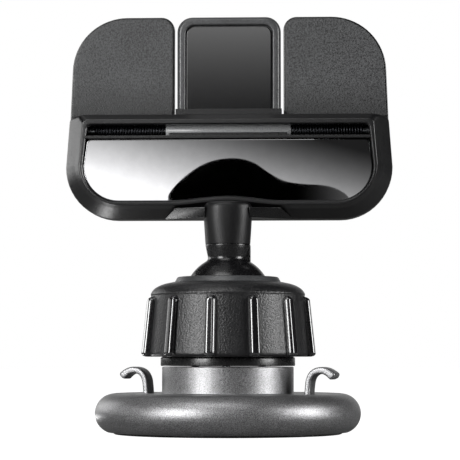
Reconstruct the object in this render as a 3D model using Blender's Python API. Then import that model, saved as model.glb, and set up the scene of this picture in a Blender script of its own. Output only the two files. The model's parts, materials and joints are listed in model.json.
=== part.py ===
"""Car phone mount: a suction base, a ball joint in a ribbed collar nut, and a head with a sprung jaw.

Frame: the origin is the centre of the suction pad's underside, +Z is up and the front faces -Y.
Lengths below are millimetres and angles are degrees. Meshes are written in metres.
"""

from math import asin, copysign, cos, degrees, hypot, pi, radians, sin, sqrt, tan

import bmesh
import bpy
from mathutils import Matrix, Vector

MM = 0.001
GAP = 0.3  # clearance between separate pieces

# Suction pad and the mechanism that lifts its middle
PAD_RADIUS = 32.2
PAD_THICK = 1.0
PLATE_BOTTOM = PAD_THICK + GAP
PLATE_TOP = PLATE_BOTTOM + 1.0
PLATE_RADIUS = 31.0
STUD_HEAD = 3.2
STUD_RADIUS = 2.4
STUD_TOP = 8.0
LIFT = 2.0  # how far the twist ring draws the stud up
TWIST = 60.0  # turn of the ring that does it
PIN_RADIUS = 1.0
PIN_REACH = 29.0
PIN_Z = 5.8

# Twist ring: a round-edged shell with a ramp ring inside
RING_TUBE = 5.6
RING_CENTRE = 31.9
RING_Z = 5.8
RING_WALL = 1.6
RAMP_INNER = 24.8
RAMP_FLOOR = PLATE_TOP + GAP
RAMP_FLAT = 4.4

# Hub: flange, skirt and cylinder
FLANGE_RADIUS = RING_CENTRE - GAP
FLANGE_TOP = 11.3
FLANGE_THICK = 2.0
SKIRT_OUTER = RAMP_INNER - 0.4
SKIRT_INNER = 19.5
HUB_RADIUS = 18.6
HUB_INNER = 16.0
HUB_TOP = 18.9
ROOF_THICK = 2.0
HOOK_ANGLE = -19.0  # the pair of hooks stands on this line through the axis
HOOK_WIDTH = 5.0

# Ball joint
BALL_RADIUS = 12.5
BALL_Z = 37.8
SOCKET_RADIUS = BALL_RADIUS + GAP
CUP_OUTER = 14.2
CUP_RIM_ANGLE = 125.0  # polar angle of the friction cup's rim
RING_LOW = 34.9
RING_HIGH = 38.2
POST_BORE = 15.2
POST_RADIUS = 18.6
COLLAR_RADIUS = 19.0
POST_BOTTOM = HUB_TOP + GAP
COLLAR_TOP = 21.4
LIP_TOP = 44.2
NUT_BOTTOM = COLLAR_TOP + GAP
NUT_TOP = 42.7
RIBS = 12
RIB_PHASE = -65.0  # direction of one rib, measured from +X
RIB_WIDTH = 3.1

# Neck
STEM_LOW_RADIUS = 5.6
STEM_TOP_RADIUS = 6.4
STEM_TOP = 53.3
NECK_BOTTOM = STEM_TOP + GAP
NECK_HALF = 6.9
NECK_FRONT = -6.6
ARCH_TOP = 65.5
BOSS_TOP = 64.2
BOSS_BACK = 12.0

# Head body
HEAD_BOTTOM = 60.7
HEAD_TOP = 90.8
HALF_TOP = 45.9
HALF_MIDDLE = 47.0
MIDDLE_Z = 76.0
HEAD_CORNER = 15.0
RIM_Y = -2.0
SPLIT_Y = 7.4
BACK_Y = 14.0
WALL = 3.5
SIDE_WALL = 5.1
BACK_WALL_Y = 12.5
CEILING = 89.6
GROOVE_DEPTH = 0.5  # in the ledge, for the feet of the wing pads

# Gloss panel's window, the slot above it and the bar between them
WINDOW_HALF_TOP = 40.3
WINDOW_HALF_MIDDLE = 41.3
WINDOW_BOTTOM = 65.4
WINDOW_TOP = 83.6
WINDOW_CORNER = 10.3
HILL_HEIGHT = 1.3
HILL_REACH = 16.0
SLOT_BOTTOM = 84.5
SLOT_TOP = 87.6
SLOT_HALF = 40.0
BAR_BACK = 1.2

# Jaw and its hinge
HINGE_Y = 4.5
HINGE_Z = 86.4
HINGE_PIN_RADIUS = 1.0
HINGE_PIN_HALF = 42.4
BARREL_RADIUS = 2.2
BARREL_HALF = 17.9
SPRING_START = 18.3
SPRING_END = 38.2
SPRING_RADIUS = 1.8
SPRING_WIRE = 0.4
TONGUE_HALF = 14.95
TONGUE_FRONT = 6.8
TONGUE_BACK = 10.4
TONGUE_TOP = 119.8
TONGUE_CORNER = 4.4
WING_INNER = 15.75
WING_OUTER_LOW = 45.9
WING_OUTER_HIGH = 44.7
WING_FRONT = SPLIT_Y + GAP
WING_BACK = 10.7
PAD_INSET = 0.5


# ---------------------------------------------------------------- materials


def finish(name, colour, roughness, metallic=0.0):
    """A plain Principled material."""
    material = bpy.data.materials.new(name)
    material.use_nodes = True
    shader = material.node_tree.nodes["Principled BSDF"]
    shader.inputs["Base Color"].default_value = (*colour, 1.0)
    shader.inputs["Roughness"].default_value = roughness
    shader.inputs["Metallic"].default_value = metallic
    return material


# ---------------------------------------------------------------- outlines and profiles


def arc(centre, radius, start, end, steps):
    """Points on a circle from one angle to another, both included."""
    angles = [radians(start + (end - start) * i / steps) for i in range(steps + 1)]
    return [(centre[0] + radius * cos(a), centre[1] + radius * sin(a)) for a in angles]


def rounded(corners, steps=6):
    """A closed outline from (u, v, radius) corners, each replaced by a tangent arc."""
    outline = []
    count = len(corners)
    for i, (u, v, radius) in enumerate(corners):
        here = Vector((u, v))
        before = (Vector(corners[i - 1][:2]) - here).normalized()
        after = (Vector(corners[(i + 1) % count][:2]) - here).normalized()
        if radius <= 0:
            outline.append((u, v))
            continue
        half = before.angle(after) / 2
        reach = radius / tan(half)
        centre = here + (before + after).normalized() * (radius / sin(half))
        first = here + before * reach - centre
        last = here + after * reach - centre
        sweep = first.angle_signed(last)
        for k in range(steps + 1):
            # mathutils measures signed angles clockwise
            spun = Matrix.Rotation(-sweep * k / steps, 2) @ first
            outline.append(tuple(centre + spun))
    return outline


def head_outline(side=0.0, bottom=0.0, top=0.0):
    """The head's outline in X and Z, drawn in by so much at its sides, bottom and top."""
    low = HEAD_BOTTOM + bottom
    high = HEAD_TOP - top
    corner = HEAD_CORNER - max(side, bottom) * 0.9
    right = [
        (HALF_MIDDLE - side, low, corner),
        (HALF_MIDDLE - side, MIDDLE_Z, 0.0),
        (HALF_TOP - side, high, 1.4),
    ]
    left = [(-x, z, r) for x, z, r in reversed(right)]
    return rounded(right + left)


def panel_outline(inset, hill=HILL_HEIGHT, top=WINDOW_TOP):
    """The window's outline drawn in by inset; its lower edge swells over the neck as a cosine hill."""
    low = WINDOW_BOTTOM + inset
    high = top - inset
    right = [
        (WINDOW_HALF_MIDDLE - inset, low, WINDOW_CORNER - inset),
        (WINDOW_HALF_MIDDLE - inset, MIDDLE_Z, 0.0),
        (WINDOW_HALF_TOP - inset, high, 1.1),
    ]
    left = [(-x, z, r) for x, z, r in reversed(right)]
    steps = 10
    crest = []
    for i in range(steps + 1):
        x = HILL_REACH * (2 * i / steps - 1)
        crest.append((x, low + hill * (1 + cos(pi * x / HILL_REACH)) / 2))
    return rounded(right + left) + (crest if hill else [])


def wing_outline(inset, low):
    """The right-hand wing's outline in X and Z."""
    return rounded(
        [
            (WING_INNER + inset, low, 0.0),
            (WING_OUTER_LOW - inset, low, 0.0),
            (WING_OUTER_LOW - inset, HEAD_TOP, 0.0),
            (WING_OUTER_HIGH - inset, TONGUE_TOP - inset, 14.2 - inset),
            (WING_INNER + inset, TONGUE_TOP - inset, 3.8 - inset),
        ]
    )


def tongue_outline(inset, low, corner=TONGUE_CORNER):
    """The centre tongue's outline in X and Z."""
    half = TONGUE_HALF - inset
    high = TONGUE_TOP - inset
    return rounded([(-half, low, 0.0), (half, low, 0.0), (half, high, corner), (-half, high, corner)])


# ---------------------------------------------------------------- pieces


def pivot(name, at, parent=None):
    """An empty on a joint's axis, which the moving pieces are parented to."""
    empty = bpy.data.objects.new(name, None)
    bpy.context.scene.collection.objects.link(empty)
    empty.parent = parent
    empty.location = (Vector(at) - place(parent)) * MM
    empty["place"] = at
    return empty


def place(empty):
    """Where a pivot stands, in millimetres from the frame's origin."""
    return Vector(empty["place"]) if empty else Vector((0, 0, 0))


def piece(name, points, faces, material, parent=None, sharp=32):
    """An object from points in millimetres in the part's frame, with its origin at its pivot."""
    mesh = bpy.data.meshes.new(name)
    origin = place(parent)
    mesh.from_pydata([(Vector(p) - origin) * MM for p in points], [], faces)
    shape = bmesh.new()
    shape.from_mesh(mesh)
    bmesh.ops.recalc_face_normals(shape, faces=shape.faces)
    shape.to_mesh(mesh)
    shape.free()
    mesh.shade_smooth()
    mesh.set_sharp_from_angle(angle=radians(sharp))
    obj = bpy.data.objects.new(name, mesh)
    bpy.context.scene.collection.objects.link(obj)
    obj.parent = parent
    if material:
        mesh.materials.append(material)
    else:
        obj.hide_render = True
        obj.display_type = "WIRE"
    return obj


def loft(name, loops, material, parent=None, closed=False):
    """Joins loops of the same length, and caps the first and last unless the run closes on itself."""
    size = len(loops[0])
    points = [p for loop in loops for p in loop]
    faces = []
    for i in range(len(loops) if closed else len(loops) - 1):
        here = i * size
        there = (i + 1) % len(loops) * size
        for j in range(size):
            k = (j + 1) % size
            faces.append((here + j, here + k, there + k, there + j))
    if not closed:
        faces.append(tuple(range(size)))
        faces.append(tuple(range(len(points) - size, len(points))))
    return piece(name, points, faces, material, parent)


def prism(name, outline, front, back, material, parent=None):
    """An X-Z outline carried from one Y to another."""
    loops = [[(x, y, z) for x, z in outline] for y in (front, back)]
    return loft(name, loops, material, parent)


def block(name, low, high, material, parent=None):
    """A box between two corners."""
    outline = [(low[0], low[2]), (high[0], low[2]), (high[0], high[2]), (low[0], high[2])]
    return prism(name, outline, low[1], high[1], material, parent)


def turned(name, profile, steps, material, parent=None, frame=None):
    """A profile of (radius, height) points turned about an axis, +Z through the origin by default.

    A profile that starts and ends on the axis gives a solid with two poles, and any other closes on itself.
    """
    frame = frame or Matrix.Identity(4)
    poles = profile[0][0] == 0 and profile[-1][0] == 0
    rings = profile[1:-1] if poles else profile
    points = []
    for radius, height in rings:
        for i in range(steps):
            a = 2 * pi * i / steps
            points.append(frame @ Vector((radius * cos(a), radius * sin(a), height)))
    faces = []
    for i in range(len(rings) - 1 if poles else len(rings)):
        here = i * steps
        there = (i + 1) % len(rings) * steps
        for j in range(steps):
            k = (j + 1) % steps
            faces.append((here + j, here + k, there + k, there + j))
    if poles:
        first, last = len(points), len(points) + 1
        points += [frame @ Vector((0, 0, profile[0][1])), frame @ Vector((0, 0, profile[-1][1]))]
        end = (len(rings) - 1) * steps
        faces += [(first, (j + 1) % steps, j) for j in range(steps)]
        faces += [(last, end + j, end + (j + 1) % steps) for j in range(steps)]
    return piece(name, points, faces, material, parent)


def along(axis, at):
    """A frame at a point whose Z axis runs along a direction."""
    return Matrix.Translation(at) @ Vector(axis).to_track_quat("Z", "Y").to_matrix().to_4x4()


def rod(name, at, axis, radius, length, material, parent=None, steps=16):
    """A round bar from a point along a direction."""
    profile = [(0, 0), (radius, 0), (radius, length), (0, length)]
    return turned(name, profile, steps, material, parent, along(axis, at))


def coil(name, at, axis, radius, wire, length, turns, material, parent=None, sides=4, per_turn=7):
    """A round wire wound into a helix whose ends lie at 0 and length along its axis."""
    frame = along(axis, at)
    count = turns * per_turn
    rise = length - 2 * wire
    loops = []
    for i in range(count + 1):
        a = 2 * pi * i / per_turn
        outward = Vector((cos(a), sin(a), 0))
        slope = Vector((-sin(a) * radius, cos(a) * radius, rise / (2 * pi * turns))).normalized()
        across = slope.cross(outward)
        middle = outward * radius + Vector((0, 0, wire + rise * i / count))
        ring = []
        for k in range(sides):
            b = 2 * pi * k / sides
            ring.append(frame @ (middle + outward * wire * cos(b) + across * wire * sin(b)))
        loops.append(ring)
    return loft(name, loops, material, parent)


def combine(target, operation, *tools):
    """Cuts tools out of a piece, or joins them to it."""
    for tool in tools:
        step = target.modifiers.new(tool.name, "BOOLEAN")
        step.operation = operation
        step.solver = "EXACT"
        step.object = tool
        tool.hide_render = True
        tool.display_type = "WIRE"


def cut(target, *tools):
    combine(target, "DIFFERENCE", *tools)


def join(target, *tools):
    combine(target, "UNION", *tools)


def screw_profile(head, shaft, length, grow=0.0):
    """A countersunk screw from the face of its head (height 0) to its tip; grow makes the hole for it."""
    sink = head - shaft
    start = -1.0 if grow else 0.0
    return [
        (0, start),
        (head + grow, start),
        (head + grow, 0.0),
        (shaft + grow, sink),
        (shaft + grow, length + grow),
        (0, length + grow),
    ]


def screw(name, at, axis, head, shaft, length, material, parent, *through):
    """A screw, and its clearance hole in each piece that it passes through."""
    frame = along(axis, at)
    turned(name, screw_profile(head, shaft, length), 12, material, parent, frame)
    hole = turned(name + "_hole", screw_profile(head, shaft, length, GAP), 12, None, parent, frame)
    for target in through:
        cut(target, hole)


# ---------------------------------------------------------------- base


def suction_pad(rubber):
    """The disc that grips the dashboard, with a pocket for the stud's head."""
    edge = 0.3
    profile = [
        (0, 0),
        (PAD_RADIUS - edge, 0),
        (PAD_RADIUS, edge),
        (PAD_RADIUS, PAD_THICK),
        (STUD_HEAD + GAP, PAD_THICK),
        (STUD_HEAD + GAP, 0.4),
        (0, 0.4),
    ]
    turned("suction_pad", profile, 40, rubber)


def lift_mechanism(steel, spring_steel, stud_pivot):
    """The stud moulded to the pad, the cross pin that the ramps raise, and the spring above."""
    profile = [(0, 0.7), (STUD_HEAD, 0.7), (STUD_HEAD, 1.9), (STUD_RADIUS, 1.9)]
    profile += [(STUD_RADIUS, STUD_TOP), (0, STUD_TOP)]
    stud = turned("cup_stud", profile, 20, steel, stud_pivot)
    start = (-PIN_REACH, 0, PIN_Z)
    rod("lift_pin", start, (1, 0, 0), PIN_RADIUS, 2 * PIN_REACH, steel, stud_pivot)
    hole = rod("stud_cross_hole", start, (1, 0, 0), PIN_RADIUS + GAP, 2 * PIN_REACH, None, stud_pivot)
    cut(stud, hole)
    low = STUD_TOP + GAP
    high = HUB_TOP - ROOF_THICK - GAP
    coil("return_spring", (0, 0, low), (0, 0, 1), 3.4, 0.5, high - low, 5, spring_steel)


def twist_ring(silver, ring_pivot):
    """The round-edged ring that is turned by hand, with two helical ramps inside."""
    hollow = RING_TUBE - RING_WALL
    meets = degrees(asin((RAMP_FLAT - RING_Z) / hollow))
    clear = PAD_RADIUS + 0.4
    profile = arc((RING_CENTRE, RING_Z), RING_TUBE, 90, -68, 11)
    profile += [(clear, 0.9), (clear, RAMP_FLOOR), (RAMP_INNER, RAMP_FLOOR), (RAMP_INNER, RAMP_FLAT)]
    profile += arc((RING_CENTRE, RING_Z), hollow, meets, 90, 4)
    ring = turned("twist_ring", profile, 40, silver, ring_pivot)
    lead = 4.0  # the ramp starts this far from the pin
    steps = 8
    for side in (0, 180):
        loops = []
        for i in range(steps + 2):
            turn = min(i, steps) / steps
            past = 6.0 if i > steps else 0.0
            a = radians(side - lead - turn * (TWIST - lead) - past)
            top = RAMP_FLAT + 0.05 + LIFT * turn
            inner, outer, foot = RAMP_INNER + 0.4, 31.0, RAMP_FLAT - 0.3
            section = [(inner, foot), (outer, foot), (outer, top), (inner, top)]
            loops.append([(r * cos(a), r * sin(a), z) for r, z in section])
        join(ring, loft(f"ramp_{side}", loops, None, ring_pivot))


def base_hub(silver):
    """Flange, skirt and cylinder in one moulding, hollow underneath."""
    under = FLANGE_TOP - FLANGE_THICK
    roof = HUB_TOP - ROOF_THICK
    profile = [
        (0, roof),
        (HUB_INNER, roof),
        (HUB_INNER, under),
        (SKIRT_INNER, under),
        (SKIRT_INNER, RAMP_FLOOR),
        (SKIRT_OUTER, RAMP_FLOOR),
        (SKIRT_OUTER, under),
        (FLANGE_RADIUS, under),
        (FLANGE_RADIUS, FLANGE_TOP - 0.3),
        (FLANGE_RADIUS - 0.3, FLANGE_TOP),
        (HUB_RADIUS, FLANGE_TOP),
        (HUB_RADIUS, HUB_TOP),
        (0, HUB_TOP),
    ]
    hub = turned("base_hub", profile, 36, silver)
    for side in (-1, 1):
        xs = sorted((side * (SKIRT_INNER - 1), side * (SKIRT_OUTER + 0.3)))
        low = (xs[0], -PIN_RADIUS - 0.4, PIN_Z - PIN_RADIUS - 0.4)
        high = (xs[1], PIN_RADIUS + 0.4, under - 0.1)
        cut(hub, block(f"pin_slot_{side}", low, high, None))
    return hub


def retainer_plate(steel, hub):
    """The plate that holds the twist ring up against the flange, and its three screws."""
    hole = STUD_HEAD + 0.8
    profile = [(hole, PLATE_BOTTOM), (PLATE_RADIUS, PLATE_BOTTOM)]
    profile += [(PLATE_RADIUS, PLATE_TOP), (hole, PLATE_TOP)]
    plate = turned("retainer_plate", profile, 28, steel)
    middle = (SKIRT_INNER + SKIRT_OUTER) / 2
    for i in range(3):
        a = radians(90 + 120 * i)
        at = (middle * cos(a), middle * sin(a), PLATE_BOTTOM + 0.05)
        screw(f"retainer_screw_{i + 1}", at, (0, 0, 1), 1.8, 0.9, 6.5, steel, None, plate, hub)


def bezier(a, b, c, d, steps):
    """Points on a cubic curve, the first one left out."""
    points = []
    for i in range(1, steps + 1):
        t = i / steps
        s = 1 - t
        weights = (s**3, 3 * s * s * t, 3 * s * t * t, t**3)
        points.append(tuple(sum(w * p[k] for w, p in zip(weights, (a, b, c, d))) for k in (0, 1)))
    return points


def hook_outline():
    """The hook's side view in radius and height: a strip that curls outward and thickens to its tip."""
    foot = (24.4, FLANGE_TOP + GAP)
    knee = (24.6, 13.9)
    crown = (28.3, 17.3)
    tip = (31.9, 15.8)
    path = [foot, knee]
    path += bezier(knee, (24.9, 16.0), (26.2, 17.3), crown, 6)
    path += bezier(crown, (29.7, 17.3), (30.8, 16.5), tip, 5)
    last = len(path) - 1
    right, left = [], []
    for i, (r, z) in enumerate(path):
        before, after = path[max(i - 1, 0)], path[min(i + 1, last)]
        run = hypot(after[0] - before[0], after[1] - before[1])
        half = 0.7 + 0.5 * (i / last) ** 2
        nr, nz = (after[1] - before[1]) / run * half, -(after[0] - before[0]) / run * half
        right.append((r + nr, z + nz))
        left.append((r - nr, z - nz))
    middle = Vector(path[-1])
    start = Vector(right[-1]) - middle
    cap = [tuple(middle + Matrix.Rotation(radians(45 * k), 2) @ start) for k in (1, 2, 3)]
    return right + cap + left[::-1]


def cable_hooks(silver, hub):
    """Two hooks for tidying a lead, each with a tab through the flange."""
    outline = hook_outline()
    for name, turn in (("cable_hook_right", HOOK_ANGLE), ("cable_hook_left", HOOK_ANGLE + 180)):
        spin = Matrix.Rotation(radians(turn), 4, "Z")
        loops = []
        for across in (-HOOK_WIDTH / 2, HOOK_WIDTH / 2):
            loops.append([spin @ Vector((r, across, z)) for r, z in outline])
        hook = loft(name, loops, silver)
        for label, grow, target in (("tab", 0.0, None), ("tab_slot", GAP, hub)):
            low = (24.4 - 0.6 - grow, FLANGE_TOP - FLANGE_THICK + 0.3 - 2 * grow)
            high = (24.4 + 0.6 + grow, FLANGE_TOP + GAP + 0.6)
            half = HOOK_WIDTH / 2 - 1.0 + grow
            section = [(low[0], low[1]), (high[0], low[1]), (high[0], high[1]), (low[0], high[1])]
            sides = [[spin @ Vector((r, y, z)) for r, z in section] for y in (-half, half)]
            tool = loft(f"{name}_{label}", sides, None)
            if target:
                cut(target, tool)
            else:
                join(hook, tool)


# ---------------------------------------------------------------- ball joint


def socket_post(black, steel, hub):
    """The threaded post with the seat for the ball's friction cup, screwed to the hub from below."""
    seat = CUP_OUTER + GAP
    shelf = RING_LOW - GAP
    rim = degrees(asin((shelf - BALL_Z) / seat))
    collar = COLLAR_RADIUS
    profile = [(0, POST_BOTTOM), (collar - 0.3, POST_BOTTOM), (collar, POST_BOTTOM + 0.3)]
    profile += [(collar, COLLAR_TOP - 0.5), (collar - 0.5, COLLAR_TOP), (POST_RADIUS, COLLAR_TOP)]
    profile += [(POST_RADIUS, RING_HIGH), (POST_BORE, RING_HIGH), (POST_BORE, shelf)]
    profile += arc((0, BALL_Z), seat, rim, -80, 6)
    profile += [(0, BALL_Z - seat)]
    post = turned("socket_post", profile, 30, black)
    for i in range(3):
        a = radians(30 + 120 * i)
        at = (11.0 * cos(a), 11.0 * sin(a), HUB_TOP - ROOF_THICK + 0.05)
        screw(f"hub_screw_{i + 1}", at, (0, 0, 1), 2.0, 1.1, 6.0, steel, None, hub, post)


def friction_parts(nylon, swivel_pivot, tilt_pivot):
    """A ring round the ball's equator and a cup under it."""
    low = degrees(asin((RING_LOW - BALL_Z) / SOCKET_RADIUS))
    high = degrees(asin((RING_HIGH - BALL_Z) / SOCKET_RADIUS))
    profile = arc((0, BALL_Z), SOCKET_RADIUS, low, high, 2)
    profile += [(POST_BORE - GAP, RING_HIGH), (POST_BORE - GAP, RING_LOW)]
    turned("friction_ring", profile, 28, nylon, swivel_pivot)
    rim = 90 - CUP_RIM_ANGLE
    profile = [(0, BALL_Z - CUP_OUTER)]
    profile += arc((0, BALL_Z), CUP_OUTER, -80, rim, 4)
    profile += arc((0, BALL_Z), SOCKET_RADIUS, rim, -80, 4)
    profile += [(0, BALL_Z - SOCKET_RADIUS)]
    turned("friction_cup", profile, 24, nylon, tilt_pivot)


def pressure_ring(grey, ring_pivot):
    """The lip ring that the nut presses onto the ball."""
    foot = RING_HIGH + 0.4
    step = 40.4
    low = degrees(asin((foot - BALL_Z) / SOCKET_RADIUS))
    high = degrees(asin((43.0 - BALL_Z) / SOCKET_RADIUS))
    profile = arc((0, BALL_Z), SOCKET_RADIUS, low, high, 3)
    profile += [(12.2, LIP_TOP - 0.2), (12.5, LIP_TOP), (14.2, LIP_TOP), (14.5, LIP_TOP - 0.2)]
    profile += [(15.4, 42.6), (15.4, step), (POST_RADIUS - 0.1, step), (POST_RADIUS - 0.1, foot)]
    turned("pressure_ring", profile, 30, grey, ring_pivot)


def collar_nut(black, nut_pivot):
    """The ribbed nut: a tapered shell with twelve ribs and a domed top."""
    bore = POST_RADIUS + GAP
    mouth = 15.4 + GAP
    shoulder = 39.5
    # (height, body radius, how far the rib stands proud there)
    levels = [
        (NUT_BOTTOM, 22.9, 0.0),
        (NUT_BOTTOM + 0.35, 23.4, 0.7),
        (NUT_BOTTOM + 0.8, 23.4, 1.2),
        (30.0, 22.7, 1.2),
        (37.3, 21.8, 1.1),
        (38.3, 21.7, 0.7),
        (38.6, 21.7, 0.0),
    ]
    dome = [(shoulder, 21.9), (40.6, 21.0), (41.6, 19.2), (42.3, 17.2), (NUT_TOP, mouth)]
    inside = [(40.7, mouth), (40.7, bore), (NUT_BOTTOM, bore)]
    outer_half = RIB_WIDTH / 2 / 23.0
    inner_half = outer_half * 0.72
    spacing = 2 * pi / RIBS
    marks = [(-outer_half, 0), (-inner_half, 1), (inner_half, 1), (outer_half, 0)]
    marks.append((spacing / 2, 0))
    loops = []
    for height, radius, proud in levels + [(z, r, 0.0) for z, r in dome + inside]:
        ring = []
        for i in range(RIBS):
            for turn, raised in marks:
                a = radians(RIB_PHASE) + i * spacing + turn
                r = radius + proud * raised
                ring.append((r * cos(a), r * sin(a), height))
        loops.append(ring)
    loft("collar_nut", loops, black, nut_pivot, closed=True)


# ---------------------------------------------------------------- neck


def ball_stud(black, steel, head_pivot):
    """The ball and its stem, with a threaded hole for the stud that joins it to the neck."""
    top = degrees(asin(sqrt(1 - (STEM_LOW_RADIUS / BALL_RADIUS) ** 2)))
    profile = [(0, BALL_Z - BALL_RADIUS)] + arc((0, BALL_Z), BALL_RADIUS, -78, top, 10)
    profile += [(STEM_LOW_RADIUS, 49.6), (STEM_TOP_RADIUS, STEM_TOP), (0, STEM_TOP)]
    stud = turned("ball_stud", profile, 24, black, head_pivot)
    rod("neck_stud", (0, 0, 45.0), (0, 0, 1), 2.2, 14.0, steel, head_pivot)
    start = (0, 0, 45.0 - GAP)
    hole = rod("neck_stud_hole", start, (0, 0, 1), 2.2 + GAP, 14.0 + 2 * GAP, None, head_pivot)
    cut(stud, hole)
    return hole


def neck_bracket(black, steel, head_pivot, hole, shell):
    """The column with an arched front, and the boss that the back shell is screwed to."""
    steps = 24
    loops = []
    for z, half_x, half_y in (
        (NECK_BOTTOM, STEM_TOP_RADIUS, 6.2),
        (58.0, 6.7, 6.5),
        (61.5, NECK_HALF, 6.6),
        (BOSS_TOP - 0.2, NECK_HALF, 6.6),
    ):
        ring = []
        for i in range(steps):
            a = 2 * pi * i / steps
            c, s = (copysign(abs(v) ** 0.7, v) for v in (cos(a), sin(a)))
            ring.append((half_x * c, half_y * s, z))
        loops.append(ring)
    neck = loft("neck_bracket", loops, black, head_pivot)
    arch = [(-6.2, 61.0, 0.0), (6.2, 61.0, 0.0), (6.2, ARCH_TOP, 3.6), (-6.2, ARCH_TOP, 3.6)]
    join(neck, prism("neck_arch", rounded(arch), NECK_FRONT + 0.6, RIM_Y - GAP, None, head_pivot))
    low = (-NECK_HALF + 0.1, 1.0, HEAD_BOTTOM + 0.2)
    join(neck, block("neck_boss", low, (NECK_HALF - 0.1, BOSS_BACK, BOSS_TOP), None, head_pivot))
    cut(neck, hole)
    for i, x in enumerate((-3.9, 3.9)):
        at = (x, BACK_Y - 0.3, 62.6)
        screw(f"bracket_screw_{i + 1}", at, (0, -1, 0), 1.6, 0.8, 8.0, steel, head_pivot, neck, shell)


# ---------------------------------------------------------------- head


def cradle_frame(black, head_pivot):
    """The front frame: bevelled rim, window, slot and the ledge on top."""
    # (depth, inset at the sides, at the bottom and at the top)
    bevel = [
        (SPLIT_Y, 0.0, 0.0, 0.0),
        (6.0, 0.0, 0.0, 0.0),
        (1.0, 3.0, 2.6, 0.0),
        (RIM_Y + 0.3, 4.6, 3.6, 2.1),
        (RIM_Y, 4.9, 3.9, 2.4),
    ]
    loops = [[(x, y, z) for x, z in head_outline(side, low, top)] for y, side, low, top in bevel]
    frame = loft("cradle_frame", loops, black, head_pivot)
    for side in (-1, 1):
        low = [(18.5, 6.3), (7.35, -3.2), (7.35, 7.0), (18.5, 7.0)]
        high = [(15.2, -0.9), (7.35, -4.0), (7.35, 7.0), (15.2, 7.0)]
        ends = [
            [(side * x, y, HEAD_BOTTOM + 0.05) for x, y in low],
            [(side * x, y, 63.8) for x, y in high],
        ]
        join(frame, loft(f"buttress_{side}", ends, None, head_pivot))
    reach = SPLIT_Y + 1
    window = prism("window", panel_outline(0.0), RIM_Y - 1, reach, None, head_pivot)
    wider = panel_outline(-1.1, hill=0, top=WINDOW_TOP - 1.3)
    pocket = prism("pocket", wider, RIM_Y + 1.5, BAR_BACK + 0.4, None, head_pivot)
    slot_r = (SLOT_TOP - SLOT_BOTTOM) / 2 - 0.05
    corners = [(-SLOT_HALF, SLOT_BOTTOM), (SLOT_HALF, SLOT_BOTTOM)]
    corners += [(SLOT_HALF, SLOT_TOP), (-SLOT_HALF, SLOT_TOP)]
    ends = rounded([(x, z, slot_r) for x, z in corners], 4)
    slot = prism("slot", ends, RIM_Y - 1, reach, None, head_pivot)
    hollow = head_outline(SIDE_WALL, WALL, HEAD_TOP - CEILING)
    room = prism("room", hollow, BAR_BACK, reach, None, head_pivot)
    half = TONGUE_HALF + GAP
    low, high = (-half, 4.4, CEILING - 1), (half, reach, HEAD_TOP + 1)
    throat = block("throat", low, high, None, head_pivot)
    low = (-HALF_MIDDLE, TONGUE_FRONT - GAP, HEAD_TOP - GROOVE_DEPTH)
    groove = block("pad_groove", low, (HALF_MIDDLE, reach, HEAD_TOP + 1), None, head_pivot)
    half = NECK_HALF + GAP
    low, high = (-half, RIM_Y - 4, HEAD_BOTTOM - 1), (half, reach, BOSS_TOP + GAP)
    notch = block("neck_notch", low, high, None, head_pivot)
    half = HINGE_PIN_HALF + 0.4
    start = (-half, HINGE_Y, HINGE_Z)
    bore = rod("hinge_bore", start, (1, 0, 0), HINGE_PIN_RADIUS + GAP, 2 * half, None, head_pivot)
    cut(frame, window, slot, room, pocket, throat, groove, notch, bore)
    return frame


def back_shell(black, head_pivot):
    """The rear shell, with the two wings that stand behind the phone."""
    bevel = [(WING_FRONT, 0.0), (12.2, 0.0), (13.5, 0.5), (BACK_Y, 1.7)]
    loops = [[(x, y, z) for x, z in head_outline(inset, inset, inset)] for y, inset in bevel]
    shell = loft("back_shell", loops, black, head_pivot)
    right = wing_outline(0.0, HEAD_TOP - 1.4)
    left = [(-x, z) for x, z in right]
    for label, outline in (("right", right), ("left", left)):
        join(shell, prism(f"wing_{label}", outline, WING_FRONT - 0.001, WING_BACK, None, head_pivot))
    hollow = head_outline(SIDE_WALL, WALL, 2.2)
    room = prism("shell_room", hollow, WING_FRONT - 1, BACK_WALL_Y, None, head_pivot)
    half = TONGUE_HALF + GAP
    low, high = (-half, WING_FRONT - 1, 87.0), (half, 11.3, HEAD_TOP + 1)
    throat = block("shell_throat", low, high, None, head_pivot)
    half = NECK_HALF + GAP
    top = BOSS_TOP + GAP
    low, high = (-half, WING_FRONT - 1, HEAD_BOTTOM - 1), (half, BOSS_BACK + 0.2, top)
    notch = block("shell_notch", low, high, None, head_pivot)
    cut(shell, room, throat, notch)
    return shell


def shell_screws(steel, head_pivot, frame, shell):
    """Four small screws through the back shell's corners into the frame."""
    corners = [(-43.6, 72.5), (43.6, 72.5), (-43.0, 84.5), (43.0, 84.5)]
    for i, (x, z) in enumerate(corners):
        at = (x, BACK_Y - 0.5, z)
        screw(f"shell_screw_{i + 1}", at, (0, -1, 0), 1.3, 0.7, 9.0, steel, head_pivot, shell, frame)


def wing_pads(rubber, head_pivot):
    """The textured pads that the phone leans on; their feet sit in the ledge's groove."""
    right = wing_outline(PAD_INSET, HEAD_TOP - GROOVE_DEPTH + GAP)
    left = [(-x, z) for x, z in right]
    for label, outline in (("right", right), ("left", left)):
        prism(f"wing_pad_{label}", outline, TONGUE_FRONT, WING_FRONT - GAP, rubber, head_pivot)


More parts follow.
